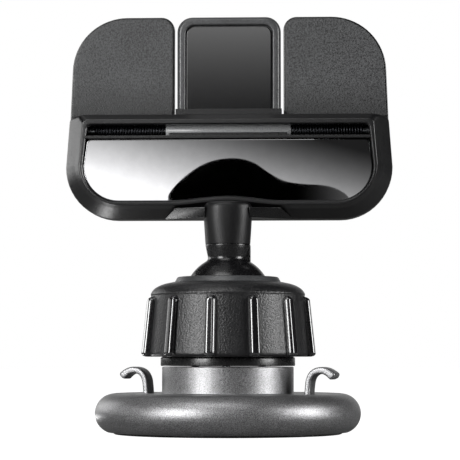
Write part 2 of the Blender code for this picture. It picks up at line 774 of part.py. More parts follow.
def hinge_hardware(steel, spring_steel, head_pivot):
    """The pin seen through the slot and the torsion spring on each half of it."""
    start = (-HINGE_PIN_HALF, HINGE_Y, HINGE_Z)
    rod("hinge_pin", start, (1, 0, 0), HINGE_PIN_RADIUS, 2 * HINGE_PIN_HALF, steel, head_pivot, 12)
    length = SPRING_END - SPRING_START
    for label, side in (("right", 1), ("left", -1)):
        at = (side * SPRING_START, HINGE_Y, HINGE_Z)
        name = f"torsion_spring_{label}"
        coil(name, at, (side, 0, 0), SPRING_RADIUS, SPRING_WIRE, length, 11, spring_steel, head_pivot)


# ---------------------------------------------------------------- jaw


def jaw_arm(black, jaw_pivot):
    """Barrel, tongue and thumb lever in one moulding, rocking on the hinge pin."""
    start = (-BARREL_HALF, HINGE_Y, HINGE_Z)
    arm = rod("jaw_arm", start, (1, 0, 0), BARREL_RADIUS, 2 * BARREL_HALF, black, jaw_pivot, 20)
    tongue = prism("tongue", tongue_outline(0.0, 85.4), TONGUE_FRONT, TONGUE_BACK, None, jaw_pivot)
    goose = block("goose_neck", (-14.9, HINGE_Y, 85.6), (14.9, 8.0, 88.1), None, jaw_pivot)
    arm_back = block("lever_arm", (-17.0, 1.9, 78.6), (17.0, 5.4, HINGE_Z), None, jaw_pivot)
    arm_front = block("lever_root", (-17.0, 0.3, 78.0), (17.0, 3.0, 82.6), None, jaw_pivot)
    lever = prism("lever_plate", panel_outline(0.8), -0.3, 1.1, None, jaw_pivot)
    join(arm, tongue, goose, arm_back, arm_front, lever)
    pocket = tongue_outline(2.7, HEAD_TOP + 0.4, 2.6)
    cut(arm, prism("inset_pocket", pocket, TONGUE_FRONT - 1, 8.1, None, jaw_pivot))
    start = (-20, HINGE_Y, HINGE_Z)
    cut(arm, rod("barrel_bore", start, (1, 0, 0), HINGE_PIN_RADIUS + GAP, 40, None, jaw_pivot, 12))


def jaw_facings(gloss, satin, rubber, jaw_pivot):
    """The satin inset of the tongue, the gloss cover of the lever and the grip pad behind the tongue."""
    prism("jaw_inset", tongue_outline(2.7 + GAP, HEAD_TOP + 0.7, 2.3), 7.2, 7.8, satin, jaw_pivot)
    prism("lever_cover", panel_outline(GAP), RIM_Y + 0.4, -0.6, gloss, jaw_pivot)
    grip = tongue_outline(3.0, 96.0, 2.5)
    prism("jaw_pad", grip, TONGUE_BACK + GAP, TONGUE_BACK + 1.0, rubber, jaw_pivot)


# ---------------------------------------------------------------- assembly


def main():
    for obj in list(bpy.data.objects):
        bpy.data.objects.remove(obj, do_unlink=True)
    black = finish("black_abs", (0.012, 0.012, 0.012), 0.4)
    gloss = finish("gloss_black", (0.006, 0.006, 0.006), 0.04)
    satin = finish("satin_black", (0.02, 0.02, 0.02), 0.3)
    silver = finish("silver_lacquer", (0.2, 0.2, 0.2), 0.4, 0.8)
    rubber = finish("rubber", (0.03, 0.03, 0.03), 0.85)
    nylon = finish("nylon", (0.6, 0.6, 0.57), 0.5)
    steel = finish("zinc_steel", (0.45, 0.45, 0.45), 0.35, 1.0)
    spring_steel = finish("spring_steel", (0.03, 0.03, 0.03), 0.4, 1.0)

    base_axis = pivot("base_axis", (0, 0, 0))
    ball_centre = pivot("ball_centre", (0, 0, BALL_Z))
    jaw_axis = pivot("jaw_axis", (0, HINGE_Y, HINGE_Z), ball_centre)

    suction_pad(rubber)
    lift_mechanism(steel, spring_steel, base_axis)
    twist_ring(silver, base_axis)
    hub = base_hub(silver)
    retainer_plate(steel, hub)
    cable_hooks(silver, hub)
    socket_post(black, steel, hub)
    friction_parts(nylon, ball_centre, ball_centre)
    pressure_ring(black, base_axis)
    collar_nut(black, base_axis)
    hole = ball_stud(black, steel, ball_centre)
    shell = back_shell(black, ball_centre)
    neck_bracket(black, steel, ball_centre, hole, shell)
    frame = cradle_frame(black, ball_centre)
    shell_screws(steel, ball_centre, frame, shell)
    wing_pads(rubber, ball_centre)
    hinge_hardware(steel, spring_steel, ball_centre)
    jaw_arm(black, jaw_axis)
    jaw_facings(gloss, satin, rubber, jaw_axis)


main()
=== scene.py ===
# %% [markdown]
# # A car phone mount, piece by piece
# The imported CAD model gives the sizes, the places and the moving bodies. This lesson makes the surface that
# the eye sees: lacquered silver, moulded black plastic, rubber with a fine grain and one mirror-like panel.
# The first cell loads that frame, whose boxes give the pieces their sizes.

# %% Load the frame
import json
from math import pi

import bpy
import numpy as np
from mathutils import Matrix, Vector


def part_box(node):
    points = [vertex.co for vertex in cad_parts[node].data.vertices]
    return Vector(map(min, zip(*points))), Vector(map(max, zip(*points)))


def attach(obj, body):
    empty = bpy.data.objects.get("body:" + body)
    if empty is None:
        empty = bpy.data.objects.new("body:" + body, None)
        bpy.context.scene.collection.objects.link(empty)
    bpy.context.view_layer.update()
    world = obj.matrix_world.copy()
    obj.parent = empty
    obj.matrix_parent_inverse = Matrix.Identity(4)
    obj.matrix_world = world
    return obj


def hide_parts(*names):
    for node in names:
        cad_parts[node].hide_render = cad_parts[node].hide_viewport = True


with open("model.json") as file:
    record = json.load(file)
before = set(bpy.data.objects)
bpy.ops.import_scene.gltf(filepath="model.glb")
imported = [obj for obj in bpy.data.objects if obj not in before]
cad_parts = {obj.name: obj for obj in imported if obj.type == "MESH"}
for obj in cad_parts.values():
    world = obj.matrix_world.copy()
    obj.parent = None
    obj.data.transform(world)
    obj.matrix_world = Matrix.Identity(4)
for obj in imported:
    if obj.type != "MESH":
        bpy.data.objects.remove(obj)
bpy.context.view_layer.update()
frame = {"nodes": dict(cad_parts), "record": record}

MM = 0.001
print("nodes:", len(frame["nodes"]))

# %% [markdown]
# ## Surfaces from numbers
# Nearly every moulded piece here is one of two shapes: a profile turned round an axis, or an outline that
# changes a little as it goes from one level to the next. Both are a grid of points, rows by columns, so one
# function can turn any grid into a closed mesh. Working in whole arrays keeps it quick and exact.

# %% A mesh from a grid
def solid(grid, ends="caps"):
    """Vertices and faces of a closed surface from a grid of rows by columns, whose columns form rings.

    ends="caps" fills the first and last row with one face each, and ends="joined" joins the last row to the
    first. The enclosed volume is a sum over faces of (a x b) . c / 6, and where it is negative the faces
    are turned round, so that they point outwards.
    """
    rows, cols, _ = grid.shape
    points = grid.reshape(-1, 3)
    down = np.arange(rows if ends == "joined" else rows - 1)[:, None]
    across = np.arange(cols)[None, :]
    here, beside = down * cols + across, down * cols + (across + 1) % cols
    below = (down + 1) % rows * cols
    quads = np.stack([here, beside, below + (across + 1) % cols, below + across], -1).reshape(-1, 4)
    faces = quads.tolist()
    if ends == "caps":
        faces.append(list(range(cols))[::-1])
        faces.append(list(range((rows - 1) * cols, rows * cols)))
    a, b, c, d = (points[quads[:, k]] for k in range(4))
    volume = sum(np.einsum("ij,ij->i", np.cross(p, q), r).sum() for p, q, r in ((a, b, c), (a, c, d)))
    if ends == "caps":
        for ring, sign in ((grid[0], -1), (grid[-1], 1)):
            nxt = np.roll(ring, -1, axis=0)
            volume += sign * (np.cross(ring, nxt) @ ring.mean(0)).sum()
    if volume < 0:
        faces = [face[::-1] for face in faces]
    return points, faces


# %% [markdown]
# ## From surface to piece
# A piece may be one closed surface or several that touch. Its object stays at the origin, and the mesh
# carries the place. Each piece rides on the body that it moves with, and says which CAD nodes it stands for,
# so the coarse mesh steps aside and the fine one follows the same joints.

# %% One object from closed surfaces
def piece(name, body, material, *solids, stands_for=(), sharp=50, slot=None):
    """One object from closed surfaces in millimetres, which rides on a body and stands for CAD nodes."""
    points, faces, start = [], [], 0
    for more_points, more_faces in solids:
        points.append(more_points)
        faces += [[i + start for i in face] for face in more_faces]
        start += len(more_points)
    mesh = bpy.data.meshes.new(name)
    mesh.from_pydata((np.concatenate(points) * MM).tolist(), [], faces)
    mesh.shade_smooth()
    mesh.set_sharp_from_angle(angle=np.radians(sharp))
    mesh.materials.append(material)
    obj = bpy.data.objects.new(name, mesh)
    bpy.context.scene.collection.objects.link(obj)
    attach(obj, body)
    if stands_for:
        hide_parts(*stands_for)
    print(f"{name}: {len(mesh.polygons)} faces")
    return obj


# %% [markdown]
# ## Soft corners
# A mould has no knife edges: each corner has a small radius, and that radius catches the light. The function
# below replaces the inner points of a path with short curves. It works on rows of any length, so the same
# few lines round a turned profile and a list of bevel levels.

# %% Rounded paths
def soften(path, reach, steps=5):
    """Replaces each inner point B of a path A-B-C with a curve: (1-t)^2 P + 2t(1-t) B + t^2 Q.

    P and Q lie up to reach from B towards A and C, and never past the middle of a stretch.
    """
    path = np.asarray(path, float)
    reach = np.broadcast_to(np.asarray(reach, float), (len(path),))
    t = np.linspace(0, 1, steps)[:, None]
    out = [path[:1]]
    for i in range(1, len(path) - 1):
        before, here, after = path[i - 1], path[i], path[i + 1]
        back, on = before - here, after - here
        p = here + back * min(0.49, reach[i] / max(np.linalg.norm(back), 1e-9))
        q = here + on * min(0.49, reach[i] / max(np.linalg.norm(on), 1e-9))
        out.append((1 - t) ** 2 * p + 2 * t * (1 - t) * here + t**2 * q)
    out.append(path[-1:])
    return np.concatenate(out)


# %% [markdown]
# ## Outlines with true arcs
# The head's outline needs exact radii, so this one fits an arc to each corner. With half the corner's angle
# h, the arc touches both edges at radius / tan h from the corner, and its centre is radius / sin h away along
# the bisector. Every outline made with the same counts has the same number of points, which is what lets
# outlines be stacked into a grid.

# %% Rounded outlines
def rounded(corners, arc_steps=14, edge_steps=12):
    """A closed outline from (u, v, radius) corners: a tangent arc at each, and divided straights between."""
    corners = np.asarray(corners, float)
    here, radius = corners[:, :2], np.maximum(corners[:, 2], 0.02)
    before = np.roll(here, 1, axis=0) - here
    after = np.roll(here, -1, axis=0) - here
    before /= np.linalg.norm(before, axis=1)[:, None]
    after /= np.linalg.norm(after, axis=1)[:, None]
    half = np.arccos(np.clip((before * after).sum(1), -1, 1)) / 2
    reach = radius / np.tan(half)
    bisector = before + after
    length = np.linalg.norm(bisector, axis=1)[:, None]
    straight = length[:, 0] < 1e-6
    bisector = np.divide(bisector, length, out=np.zeros_like(bisector), where=length > 1e-6)
    centre = here + bisector * (radius / np.sin(half))[:, None]
    start, end = here + before * reach[:, None], here + after * reach[:, None]
    a0 = np.arctan2(*(start - centre).T[::-1])
    a1 = np.arctan2(*(end - centre).T[::-1])
    sweep = (a1 - a0 + pi) % (2 * pi) - pi
    t = np.linspace(0, 1, arc_steps)
    angle = a0[:, None] + sweep[:, None] * t
    arcs = centre[:, None] + radius[:, None, None] * np.stack([np.cos(angle), np.sin(angle)], -1)
    arcs[straight] = here[straight][:, None]
    s = np.linspace(0, 1, edge_steps + 1)[1:-1, None]
    runs = []
    for bow, following in zip(arcs, np.roll(arcs, -1, axis=0)):
        runs += [bow, bow[-1] * (1 - s) + following[0] * s]
    return np.concatenate(runs)


# %% [markdown]
# ## Two ways to fill a grid
# Turning gives rings, hubs and balls: the rows follow the profile and the columns go round the axis. Layering
# gives plates and shells: each row is an outline at its own depth.

# %% Turned and layered grids
def turned(profile, steps=160, centre=(0, 0, 0), axis="Z"):
    """A grid from (radius, height) points turned about an axis: (r cos a, r sin a, h) for each angle a."""
    profile = np.asarray(profile, float)
    angle = np.linspace(0, 2 * pi, steps, endpoint=False)
    r, h = profile[:, :1], profile[:, 1:2]
    u, v, w = r * np.cos(angle), r * np.sin(angle), h + 0 * angle
    stack = {"Z": (u, v, w), "X": (w, u, v), "Y": (u, w, v)}[axis]
    return np.stack(stack, -1) + np.asarray(centre, float)


def layered(levels, outline):
    """A grid of one outline at many depths: outline(level) gives X and Z, and a level's first value is Y."""
    rows = []
    for level in levels:
        ring = outline(*level[1:])
        rows.append(np.stack([ring[:, 0], np.full(len(ring), level[0]), ring[:, 1]], -1))
    return np.array(rows)


def arc(centre, radius, start, end, steps):
    """Points on a circle from one angle in degrees to another."""
    a = np.radians(np.linspace(start, end, steps))
    return np.stack([centre[0] + radius * np.cos(a), centre[1] + radius * np.sin(a)], -1)


# %% [markdown]
# ## Finishes
# Colours are given as sRGB hex values, as on a paint chart, and turned to linear light by one function. One
# more function adds a shader node with its settings and its links.

# %% Colour and node helpers
def linear(hex_colour):
    """sRGB hex to linear light: c / 12.92 below 0.04045, and ((c + 0.055) / 1.055) ^ 2.4 above it."""
    c = np.array([int(hex_colour[i : i + 2], 16) / 255 for i in (1, 3, 5)])
    c = np.where(c < 0.04045, c / 12.92, ((c + 0.055) / 1.055) ** 2.4)
    return (*c, 1.0)


def add(tree, kind, inputs=None, **settings):
    """Adds a node, gives it its settings, and feeds its inputs with values or with other nodes' outputs."""
    node = tree.nodes.new(kind)
    for key, value in settings.items():
        setattr(node, key, value)
    for key, value in (inputs or {}).items():
        if isinstance(value, bpy.types.NodeSocket):
            tree.links.new(value, node.inputs[key])
        else:
            node.inputs[key].default_value = value
    return node


def per_mm(size):
    """A noise scale that gives features of about this many millimetres on Object coordinates in metres."""
    return 1 / (size * MM)


# %% [markdown]
# ## One recipe for moulded surfaces
# Fine noise is the grain that the tool left on the surface: it moves the colour between two close tones, the
# roughness between two values, and the height by a few hundredths of a millimetre. A slower noise is mixed
# into the colour, because no big moulding is one even tone.

# %% The recipe
TONE_LOW, TONE_HIGH = 0.35, 0.65  # noise mostly stays between these, so the tones are spread over them


def moulded(name, dark, light, grain, depth, rough, metallic=0.0, blotch=9.0, drift=0.2, ior=1.5):
    """A finish with a fine grain: colour drifts between two tones, roughness between two values, and a bump.

    grain is the size of the grain in millimetres and depth its height; blotch is the size of a slow
    drift that keeps a big face from looking like one flat colour, and drift is how much of it is mixed in.
    """
    material = bpy.data.materials.new(name)
    material.use_nodes = True
    tree = material.node_tree
    shader = tree.nodes["Principled BSDF"]
    place = add(tree, "ShaderNodeTexCoord").outputs["Object"]
    fine = add(tree, "ShaderNodeTexNoise", {"Vector": place, "Scale": per_mm(grain), "Detail": 3.0})
    slow = add(tree, "ShaderNodeTexNoise", {"Vector": place, "Scale": per_mm(blotch), "Detail": 2.0})
    mixed = add(tree, "ShaderNodeMix", {0: drift, 2: fine.outputs[0], 3: slow.outputs[0]}, data_type="FLOAT")
    ramp = add(tree, "ShaderNodeValToRGB", {"Fac": mixed.outputs[0]})
    for stop, position, colour in zip(ramp.color_ramp.elements, (TONE_LOW, TONE_HIGH), (dark, light)):
        stop.position, stop.color = position, linear(colour)
    tree.links.new(ramp.outputs["Color"], shader.inputs["Base Color"])
    spread = {"From Min": TONE_LOW, "From Max": TONE_HIGH, "To Min": rough[0], "To Max": rough[1]}
    rough_map = add(tree, "ShaderNodeMapRange", {"Value": fine.outputs[0], **spread})
    tree.links.new(rough_map.outputs[0], shader.inputs["Roughness"])
    if depth:
        relief = {"Height": fine.outputs[0], "Strength": 1.0, "Distance": depth * MM}
        bump = add(tree, "ShaderNodeBump", relief)
        tree.links.new(bump.outputs[0], shader.inputs["Normal"])
    shader.inputs["Metallic"].default_value = metallic
    if metallic < 0.5:
        shader.inputs["IOR"].default_value = ior
    return material


# %% [markdown]
# ## The palette
# Silver parts are ABS under a metallic lacquer, whose aluminium flakes make a soft speckle. The nut, post
# and ball are glass-filled nylon: glossy where the mould was polished. The head is ABS with a spark-eroded
# texture. The pads are rubber with a pebble grain, the lever's facing is acrylic polished like a mirror.

# %% Make the finishes
silver = moulded("metallic_lacquer_on_abs", "#515152", "#9d9d9e", 0.22, 0.04, (0.3, 0.48), 0.85, drift=0.1)
nylon = moulded("glass_filled_nylon_polished", "#060607", "#0d0d0e", 0.5, 0.003, (0.2, 0.3))
nylon_satin = moulded("glass_filled_nylon_satin", "#060607", "#0b0b0c", 0.35, 0.01, (0.36, 0.5), ior=1.35)
grey_nylon = moulded("grey_nylon", "#2c2d2e", "#3a3b3c", 0.35, 0.01, (0.32, 0.45))
abs_spark = moulded("spark_textured_black_abs", "#060607", "#0e0e0f", 0.28, 0.03, (0.28, 0.42))
abs_plain = moulded("satin_black_abs", "#080809", "#101011", 0.4, 0.006, (0.26, 0.36))
grey_abs = moulded("satin_grey_abs", "#2a2a2b", "#454647", 0.3, 0.03, (0.28, 0.42))
# Painted highlight: grey ABS made far lighter than the tongue's, standing in for the light the barrel catches
# in the dim slot.
barrel_grey_lit = moulded("grey_abs_with_painted_highlight", "#8b8c8d", "#9d9e9f", 0.4, 0.006, (0.25, 0.35))
rubber = moulded("pebble_grain_rubber", "#131314", "#434445", 0.48, 0.13, (0.42, 0.7), drift=0.12)
pvc = moulded("soft_pvc_suction_disc", "#0c0c0d", "#151516", 0.8, 0.004, (0.22, 0.34))
acrylic = moulded("mirror_black_acrylic", "#868687", "#8a8a8b", 3.0, 0.0, (0.01, 0.02), metallic=1.0)
satin = moulded("satin_black_facing", "#040405", "#060607", 0.5, 0.0, (0.1, 0.13), ior=1.6)
zinc = moulded("zinc_plated_steel", "#8d9093", "#b2b5b8", 0.4, 0.004, (0.25, 0.4), metallic=1.0)
wire = moulded("blackened_spring_steel", "#17181a", "#2a2b2e", 0.3, 0.004, (0.25, 0.42), metallic=0.9)
acetal = moulded("natural_acetal", "#cfcdc4", "#dedcd3", 0.8, 0.003, (0.35, 0.5))
print("finishes:", len(bpy.data.materials))

# %% [markdown]
# ## Painted shade at the feet of the pads
# The rubber pads stand in a groove of the ledge, which shades their lower part, and that shade is painted:
# their colour is multiplied by a ramp over the height, from dark at the foot to full 10 mm higher.

# %% Painted shade at the foot
tree = rubber.node_tree
shader = tree.nodes["Principled BSDF"]
place = add(tree, "ShaderNodeTexCoord").outputs["Object"]
height = add(tree, "ShaderNodeSeparateXYZ", {0: place}).outputs["Z"]
# Painted shade: the pads' colour is dimmed towards the foot, standing in for the ledge's shade.
FOOT, FOOT_END, FOOT_SHADE = 91 * MM, 101 * MM, 0.22
spread = {"From Min": FOOT, "From Max": FOOT_END, "To Min": FOOT_SHADE, "To Max": 1.0}
foot = add(tree, "ShaderNodeMapRange", {"Value": height, **spread})
tone = shader.inputs["Base Color"].links[0].from_socket
shade = add(tree, "ShaderNodeHueSaturation", {"Color": tone, "Value": foot.outputs[0]})
tree.links.new(shade.outputs[0], shader.inputs["Base Color"])
print("nodes in the rubber:", len(tree.nodes))

# %% [markdown]
# ## Camera
# The mount is seen from nearly straight in front, a little to its right, with the lens at the height of the
# base, so the head is seen slightly from below. The lens is long and stands far off, which keeps level edges
# almost level.

# %% Camera
EYE = np.array([24.0, -576.5, 21.5])
AIM = np.array([0.6, 0.0, 57.6])
LENS, SENSOR = 159.4, 36.0
camera_data = bpy.data.cameras.new("camera")
camera_data.lens, camera_data.sensor_width = LENS, SENSOR
camera_data.clip_start, camera_data.clip_end = 0.01, 20
camera = bpy.data.objects.new("camera", camera_data)
camera.location = EYE * MM
camera.rotation_euler = Vector(AIM - EYE).to_track_quat("-Z", "Y").to_euler()
bpy.context.scene.collection.objects.link(camera)
bpy.context.scene.camera = camera
print("camera at", EYE, "aimed at", AIM)

# %% [markdown]
# ## The room
# A room for shiny things is mostly about what they mirror. Behind the mount all is white, which draws pale
# edges on its sides. In front it is dim, so that black plastic stays black. The glow depends on the
# direction's Y: dim up to 0.8, then rising to its full value at 0.96.

# %% Room
DIM, BRIGHT = 0.012, 0.7
scene = bpy.context.scene
scene.view_settings.view_transform = "Standard"
world = bpy.data.worlds.new("studio")
scene.world = world
world.use_nodes = True
tree = world.node_tree
background = tree.nodes["Background"]
ray = add(tree, "ShaderNodeTexCoord").outputs["Generated"]
parts = add(tree, "ShaderNodeSeparateXYZ", {0: ray})
spread = {"From Min": 0.8, "From Max": 0.96, "To Min": DIM, "To Max": BRIGHT}
behind = add(tree, "ShaderNodeMapRange", {"Value": parts.outputs["Y"], **spread})
seen = add(tree, "ShaderNodeLightPath").outputs["Is Camera Ray"]
level = add(tree, "ShaderNodeMath", {0: behind.outputs[0], 1: seen}, operation="MAXIMUM")
tree.links.new(level.outputs[0], background.inputs["Color"])
background.inputs["Strength"].default_value = 1.0
print("room:", world.name)

# %% [markdown]
# ## Floor and cards
# A card is a flat sheet that stands in the studio and isn't part of the mount. One kind is seen only in
# reflections, which shapes a highlight and leaves all else alone. The floor glows white to the eye, and gives
# little of that glow back to the mount.

# %% Floor
def backdrop(name, points, material, only_reflected=False):
    """A flat staged card from its corners in millimetres."""
    mesh = bpy.data.meshes.new(name)
    mesh.from_pydata([tuple(np.array(p) * MM) for p in points], [], [tuple(range(len(points)))])
    mesh.materials.append(material)
    card = bpy.data.objects.new(name, mesh)
    scene.collection.objects.link(card)
    if only_reflected:
        card.visible_camera = card.visible_diffuse = card.visible_shadow = False
    return card


def white_floor():
    """A pale floor that stays white to the eye, and keeps a soft shadow."""
    material = bpy.data.materials.new("pale_floor")
    material.use_nodes = True
    tree = material.node_tree
    shader = tree.nodes["Principled BSDF"]
    shader.inputs["Base Color"].default_value = (0.2, 0.2, 0.2, 1)
    shader.inputs["Roughness"].default_value = 0.9
    shader.inputs["Specular IOR Level"].default_value = 0.1
    shader.inputs["Emission Color"].default_value = (1, 1, 1, 1)
    seen = add(tree, "ShaderNodeLightPath").outputs["Is Camera Ray"]
    glow = add(tree, "ShaderNodeMapRange", {"Value": seen, "To Min": 0.03, "To Max": 1.0})
    tree.links.new(glow.outputs[0], shader.inputs["Emission Strength"])
    return material


FLOOR_HALF = 3000.0
corners = [(x * FLOOR_HALF, y * FLOOR_HALF, -0.05) for x, y in ((-1, -1), (1, -1), (1, 1), (-1, 1))]
backdrop("floor", corners, white_floor())


print("floor:", 2 * FLOOR_HALF * MM, "m across")

# %% [markdown]
# ## Soft boxes
# Two tall boxes at either side draw the highlights on the silver ring and cylinder, and a weaker one above
# the front lifts the grain of the pads. A box's place is given by its azimuth a, elevation e and distance:
# the unit vector towards it is (sin a cos e, -cos a cos e, sin e).

# %% Lamps
def softbox(name, azimuth, elevation, distance, width, height, power):
    """An area lamp that faces the mount; azimuth 0 is in front, and positive is to its right."""
    a, e = np.radians(azimuth), np.radians(elevation)
    data = bpy.data.lights.new(name, "AREA")
    data.shape = "RECTANGLE"
    data.size, data.size_y, data.energy = width, height, power
    lamp = bpy.data.objects.new(name, data)
    scene.collection.objects.link(lamp)
    target = Vector((0, 0, 0.05))
    back = Vector((np.sin(a) * np.cos(e), -np.cos(a) * np.cos(e), np.sin(e)))
    lamp.location = target + back * distance
    lamp.rotation_euler = (-back).to_track_quat("-Z", "Y").to_euler()
    return lamp


softbox("left_box", azimuth=-42, elevation=12, distance=0.75, width=0.3, height=0.5, power=7.2)
softbox("right_box", azimuth=74, elevation=12, distance=0.75, width=0.3, height=0.5, power=6.2)
softbox("front_top", azimuth=-25, elevation=60, distance=0.8, width=0.5, height=0.3, power=2.2)
print("lamps:", len(bpy.data.lights))

# %% [markdown]
# ## A fade for the eye
# A card can glow in an even fade. What looks even is a straight line in display values, so the plane
# offset + x_slope x + z_slope z is worked out in those, kept in the range from least to 1, and raised to 2.3
# to give light. Its slopes are per millimetre.

# %% Glowing material
FADE_POWER = 2.3


def glowing(name, gain, offset=1.0, x_slope=0.0, z_slope=0.0, least=0.0):
    """Emission of gain (offset + x_slope x + z_slope z) ^ 2.3 over the card."""
    material = bpy.data.materials.new(name)
    material.use_nodes = True
    tree = material.node_tree
    tree.nodes.clear()
    place = add(tree, "ShaderNodeTexCoord").outputs["Object"]
    slopes = (x_slope / MM, 0.0, z_slope / MM)
    tilt = add(tree, "ShaderNodeVectorMath", {0: place, 1: slopes}, operation="DOT_PRODUCT").outputs["Value"]
    value = add(tree, "ShaderNodeMath", {0: tilt, 1: offset}, operation="ADD", use_clamp=True).outputs[0]
    lifted = add(tree, "ShaderNodeMath", {0: value, 1: least}, operation="MAXIMUM").outputs[0]
    light = add(tree, "ShaderNodeMath", {0: lifted, 1: FADE_POWER}, operation="POWER").outputs[0]
    strength = add(tree, "ShaderNodeMath", {0: light, 1: gain}, operation="MULTIPLY").outputs[0]
    glow = add(tree, "ShaderNodeEmission", {"Strength": strength}).outputs[0]
    add(tree, "ShaderNodeOutputMaterial", {"Surface": glow})
    return material


# %% [markdown]
# ## What the lever's facing mirrors
# The facing is a mirror, so its look is the room in front. A wide card out of sight carries a fade from
# bright at the lower left to dark at the upper right, and a black shape with rolling shoulders stands before
# it. A point p of the facing mirrors the card's point SCALE p + (1 - SCALE) eye, with
# SCALE = 1 + card distance / eye distance, so both cards are drawn in the facing's own millimetres.

# %% Cards for the mirror
CARD_Y = -300.0
CARD_SCALE = 1 + CARD_Y / EYE[1]
CARD_X, CARD_Z = (1 - CARD_SCALE) * EYE[0], (1 - CARD_SCALE) * EYE[2]
MIRROR_GAIN = 1 / 0.24  # the acrylic gives back 24 % of the light


def on_card(points, depth=CARD_Y):
    """Card corners for points given in the facing's millimetres."""
    return [(CARD_SCALE * x + CARD_X, depth, CARD_SCALE * z + CARD_Z) for x, z in points]


def fade_across(x_slope, z_slope, offset):
    """The card's fade that the facing shows as offset + x_slope x + z_slope z."""
    slopes = {"x_slope": x_slope / CARD_SCALE, "z_slope": z_slope / CARD_SCALE}
    return {"offset": offset - slopes["x_slope"] * CARD_X - slopes["z_slope"] * CARD_Z, **slopes}


def smooth_loop(points, rounds=3):
    """Chaikin's corner cutting: each edge keeps its points at 1/4 and 3/4, and repeating it rounds the loop."""
    points = np.array(points, float)
    for _ in range(rounds):
        after = np.roll(points, -1, axis=0)
        points = np.stack([0.75 * points + 0.25 * after, 0.25 * points + 0.75 * after], 1).reshape(-1, 2)
    return points


fade = glowing("card_fade", MIRROR_GAIN, least=0.15, **fade_across(-0.00897, -0.03198, 3.0424))
backdrop("fade_card", on_card([(-48, 62), (48, 62), (48, 85.5), (-48, 85.5)]), fade, only_reflected=True)
hill = [
    (-15.0, 62.0), (-16.8, 65.4), (-16.9, 67.8), (-12.2, 72.8), (-5.7, 77.0), (1.8, 78.1), (7.4, 76.8),
    (11.5, 73.7), (15.8, 71.2), (20.7, 70.4), (27.7, 70.1), (31.8, 68.7), (34.6, 66.5), (36.5, 62.0),
]
dusk = glowing("card_dusk", MIRROR_GAIN, **fade_across(0.0195, 0.0, -0.36))
backdrop("dark_card", on_card(smooth_loop(hill), CARD_Y + 1), dusk, only_reflected=True)
print("a point of the facing lands on the card at", round(CARD_SCALE, 3), "times its place")

# %% [markdown]
# ## Cards for the other faces
# The tongue's facing mirrors a card above the first, which fades upwards. Two cards lie on the floor at the
# left for the faces that look down: the bevel under the head and the facets beside the neck. Two stand at
# the left for the side bevel, and one hangs high above for the top of the bar.

# %% More cards
upper = glowing("card_upper", 28.0, offset=-0.7031, z_slope=0.00626)
upright = [(-105, CARD_Y, 119), (25, CARD_Y, 119), (25, CARD_Y, 190), (-105, CARD_Y, 190)]
backdrop("upper_card", upright, upper, only_reflected=True)


def low_card(x0, x1, y0, y1, z):
    """Corners of a level card."""
    return [(x0, y0, z), (x1, y0, z), (x1, y1, z), (x0, y1, z)]


def side_card(start, end, z0, z1):
    """Corners of an upright card between two points of the floor."""
    return [(*start, z0), (*end, z0), (*end, z1), (*start, z1)]


JUST_OVER_FLOOR = 0.6
for name, corners, gain in (
    ("left_low", low_card(-190, -92, -60, 12, JUST_OVER_FLOOR), 0.7),
    ("facet", low_card(-72, -52, 18, 58, JUST_OVER_FLOOR), 8.0),
    ("left_rear", side_card((-470, 200), (-280, 430), 40, 260), 2.4),
    ("left_tall", side_card((-420, -60), (-420, 90), 60, 170), 1.5),
    ("above", low_card(-450, 30, -150, 600, 650), 0.45),
):
    backdrop(f"{name}_card", corners, glowing(f"card_{name}", gain), only_reflected=True)
    print("card:", name)

# %% [markdown]
# ## Measuring the frame
# Each piece takes its size from the CAD node that it stands for, so one helper reads a node's box in
# millimetres. Another cuts pockets out of a finished piece: it applies an exact boolean at once, and sets the
# sharp edges again, since new ones appear.

# %% Boxes and pockets
def span(node):
    """Lowest and highest corner of a CAD node, in millimetres."""
    low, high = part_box(node)
    return np.array(low) / MM, np.array(high) / MM


def carve(obj, *solids):
    """Cuts closed surfaces out of a piece and keeps the result as its mesh."""
    for points, faces in solids:
        mesh = bpy.data.meshes.new("cutter")
        mesh.from_pydata((points * MM).tolist(), [], faces)
        cutter = bpy.data.objects.new("cutter", mesh)
        scene.collection.objects.link(cutter)
        step = obj.modifiers.new("carve", "BOOLEAN")
        step.operation, step.solver, step.object = "DIFFERENCE", "EXACT", cutter
        finished = obj.evaluated_get(bpy.context.evaluated_depsgraph_get())
        result = bpy.data.meshes.new_from_object(finished)
        obj.modifiers.remove(step)
        result.set_sharp_from_angle(angle=np.radians(50))
        obj.data = result
        bpy.data.objects.remove(cutter)


# %% [markdown]
# ## Plates and blocks
# A plate is an outline layered from one depth to another, with its two rims softened. The rim starts a bit
# inside the face, at 1.6 times the edge's radius, so the curve has room.

# %% Plates
def plate(outline, front, back, edge):
    """A closed plate from outline(inset): its two rims are rounded over edge millimetres."""
    run = 1.6 * edge
    path = soften([(front, run), (front, 0), (back, 0), (back, run)], edge)
    return solid(layered(path, outline))


def box_outline(low, high, corner=0.3):
    """outline(inset) of a rectangle between two (x, z) corners."""

    def outline(inset):
        a, b = np.array(low) + inset, np.array(high) - inset
        r = max(corner - inset, 0.03)
        return rounded([(a[0], a[1], r), (b[0], a[1], r), (b[0], b[1], r), (a[0], b[1], r)], 6, 3)

    return outline


def block(low, high, edge=0.2):
    """A box with rounded edges between two corners."""
    return plate(box_outline((low[0], low[2]), (high[0], high[2]), edge * 1.5), low[1], high[1], edge)


# %% [markdown]
# ## The base
# The twist ring is the soft round tyre of silver that a hand grips. Its section is a C, open inwards, with
# the ramp ring inside. A turned profile is the natural way to make it: an arc for the outside, a smaller
# arc for the hollow, and straight stretches between.

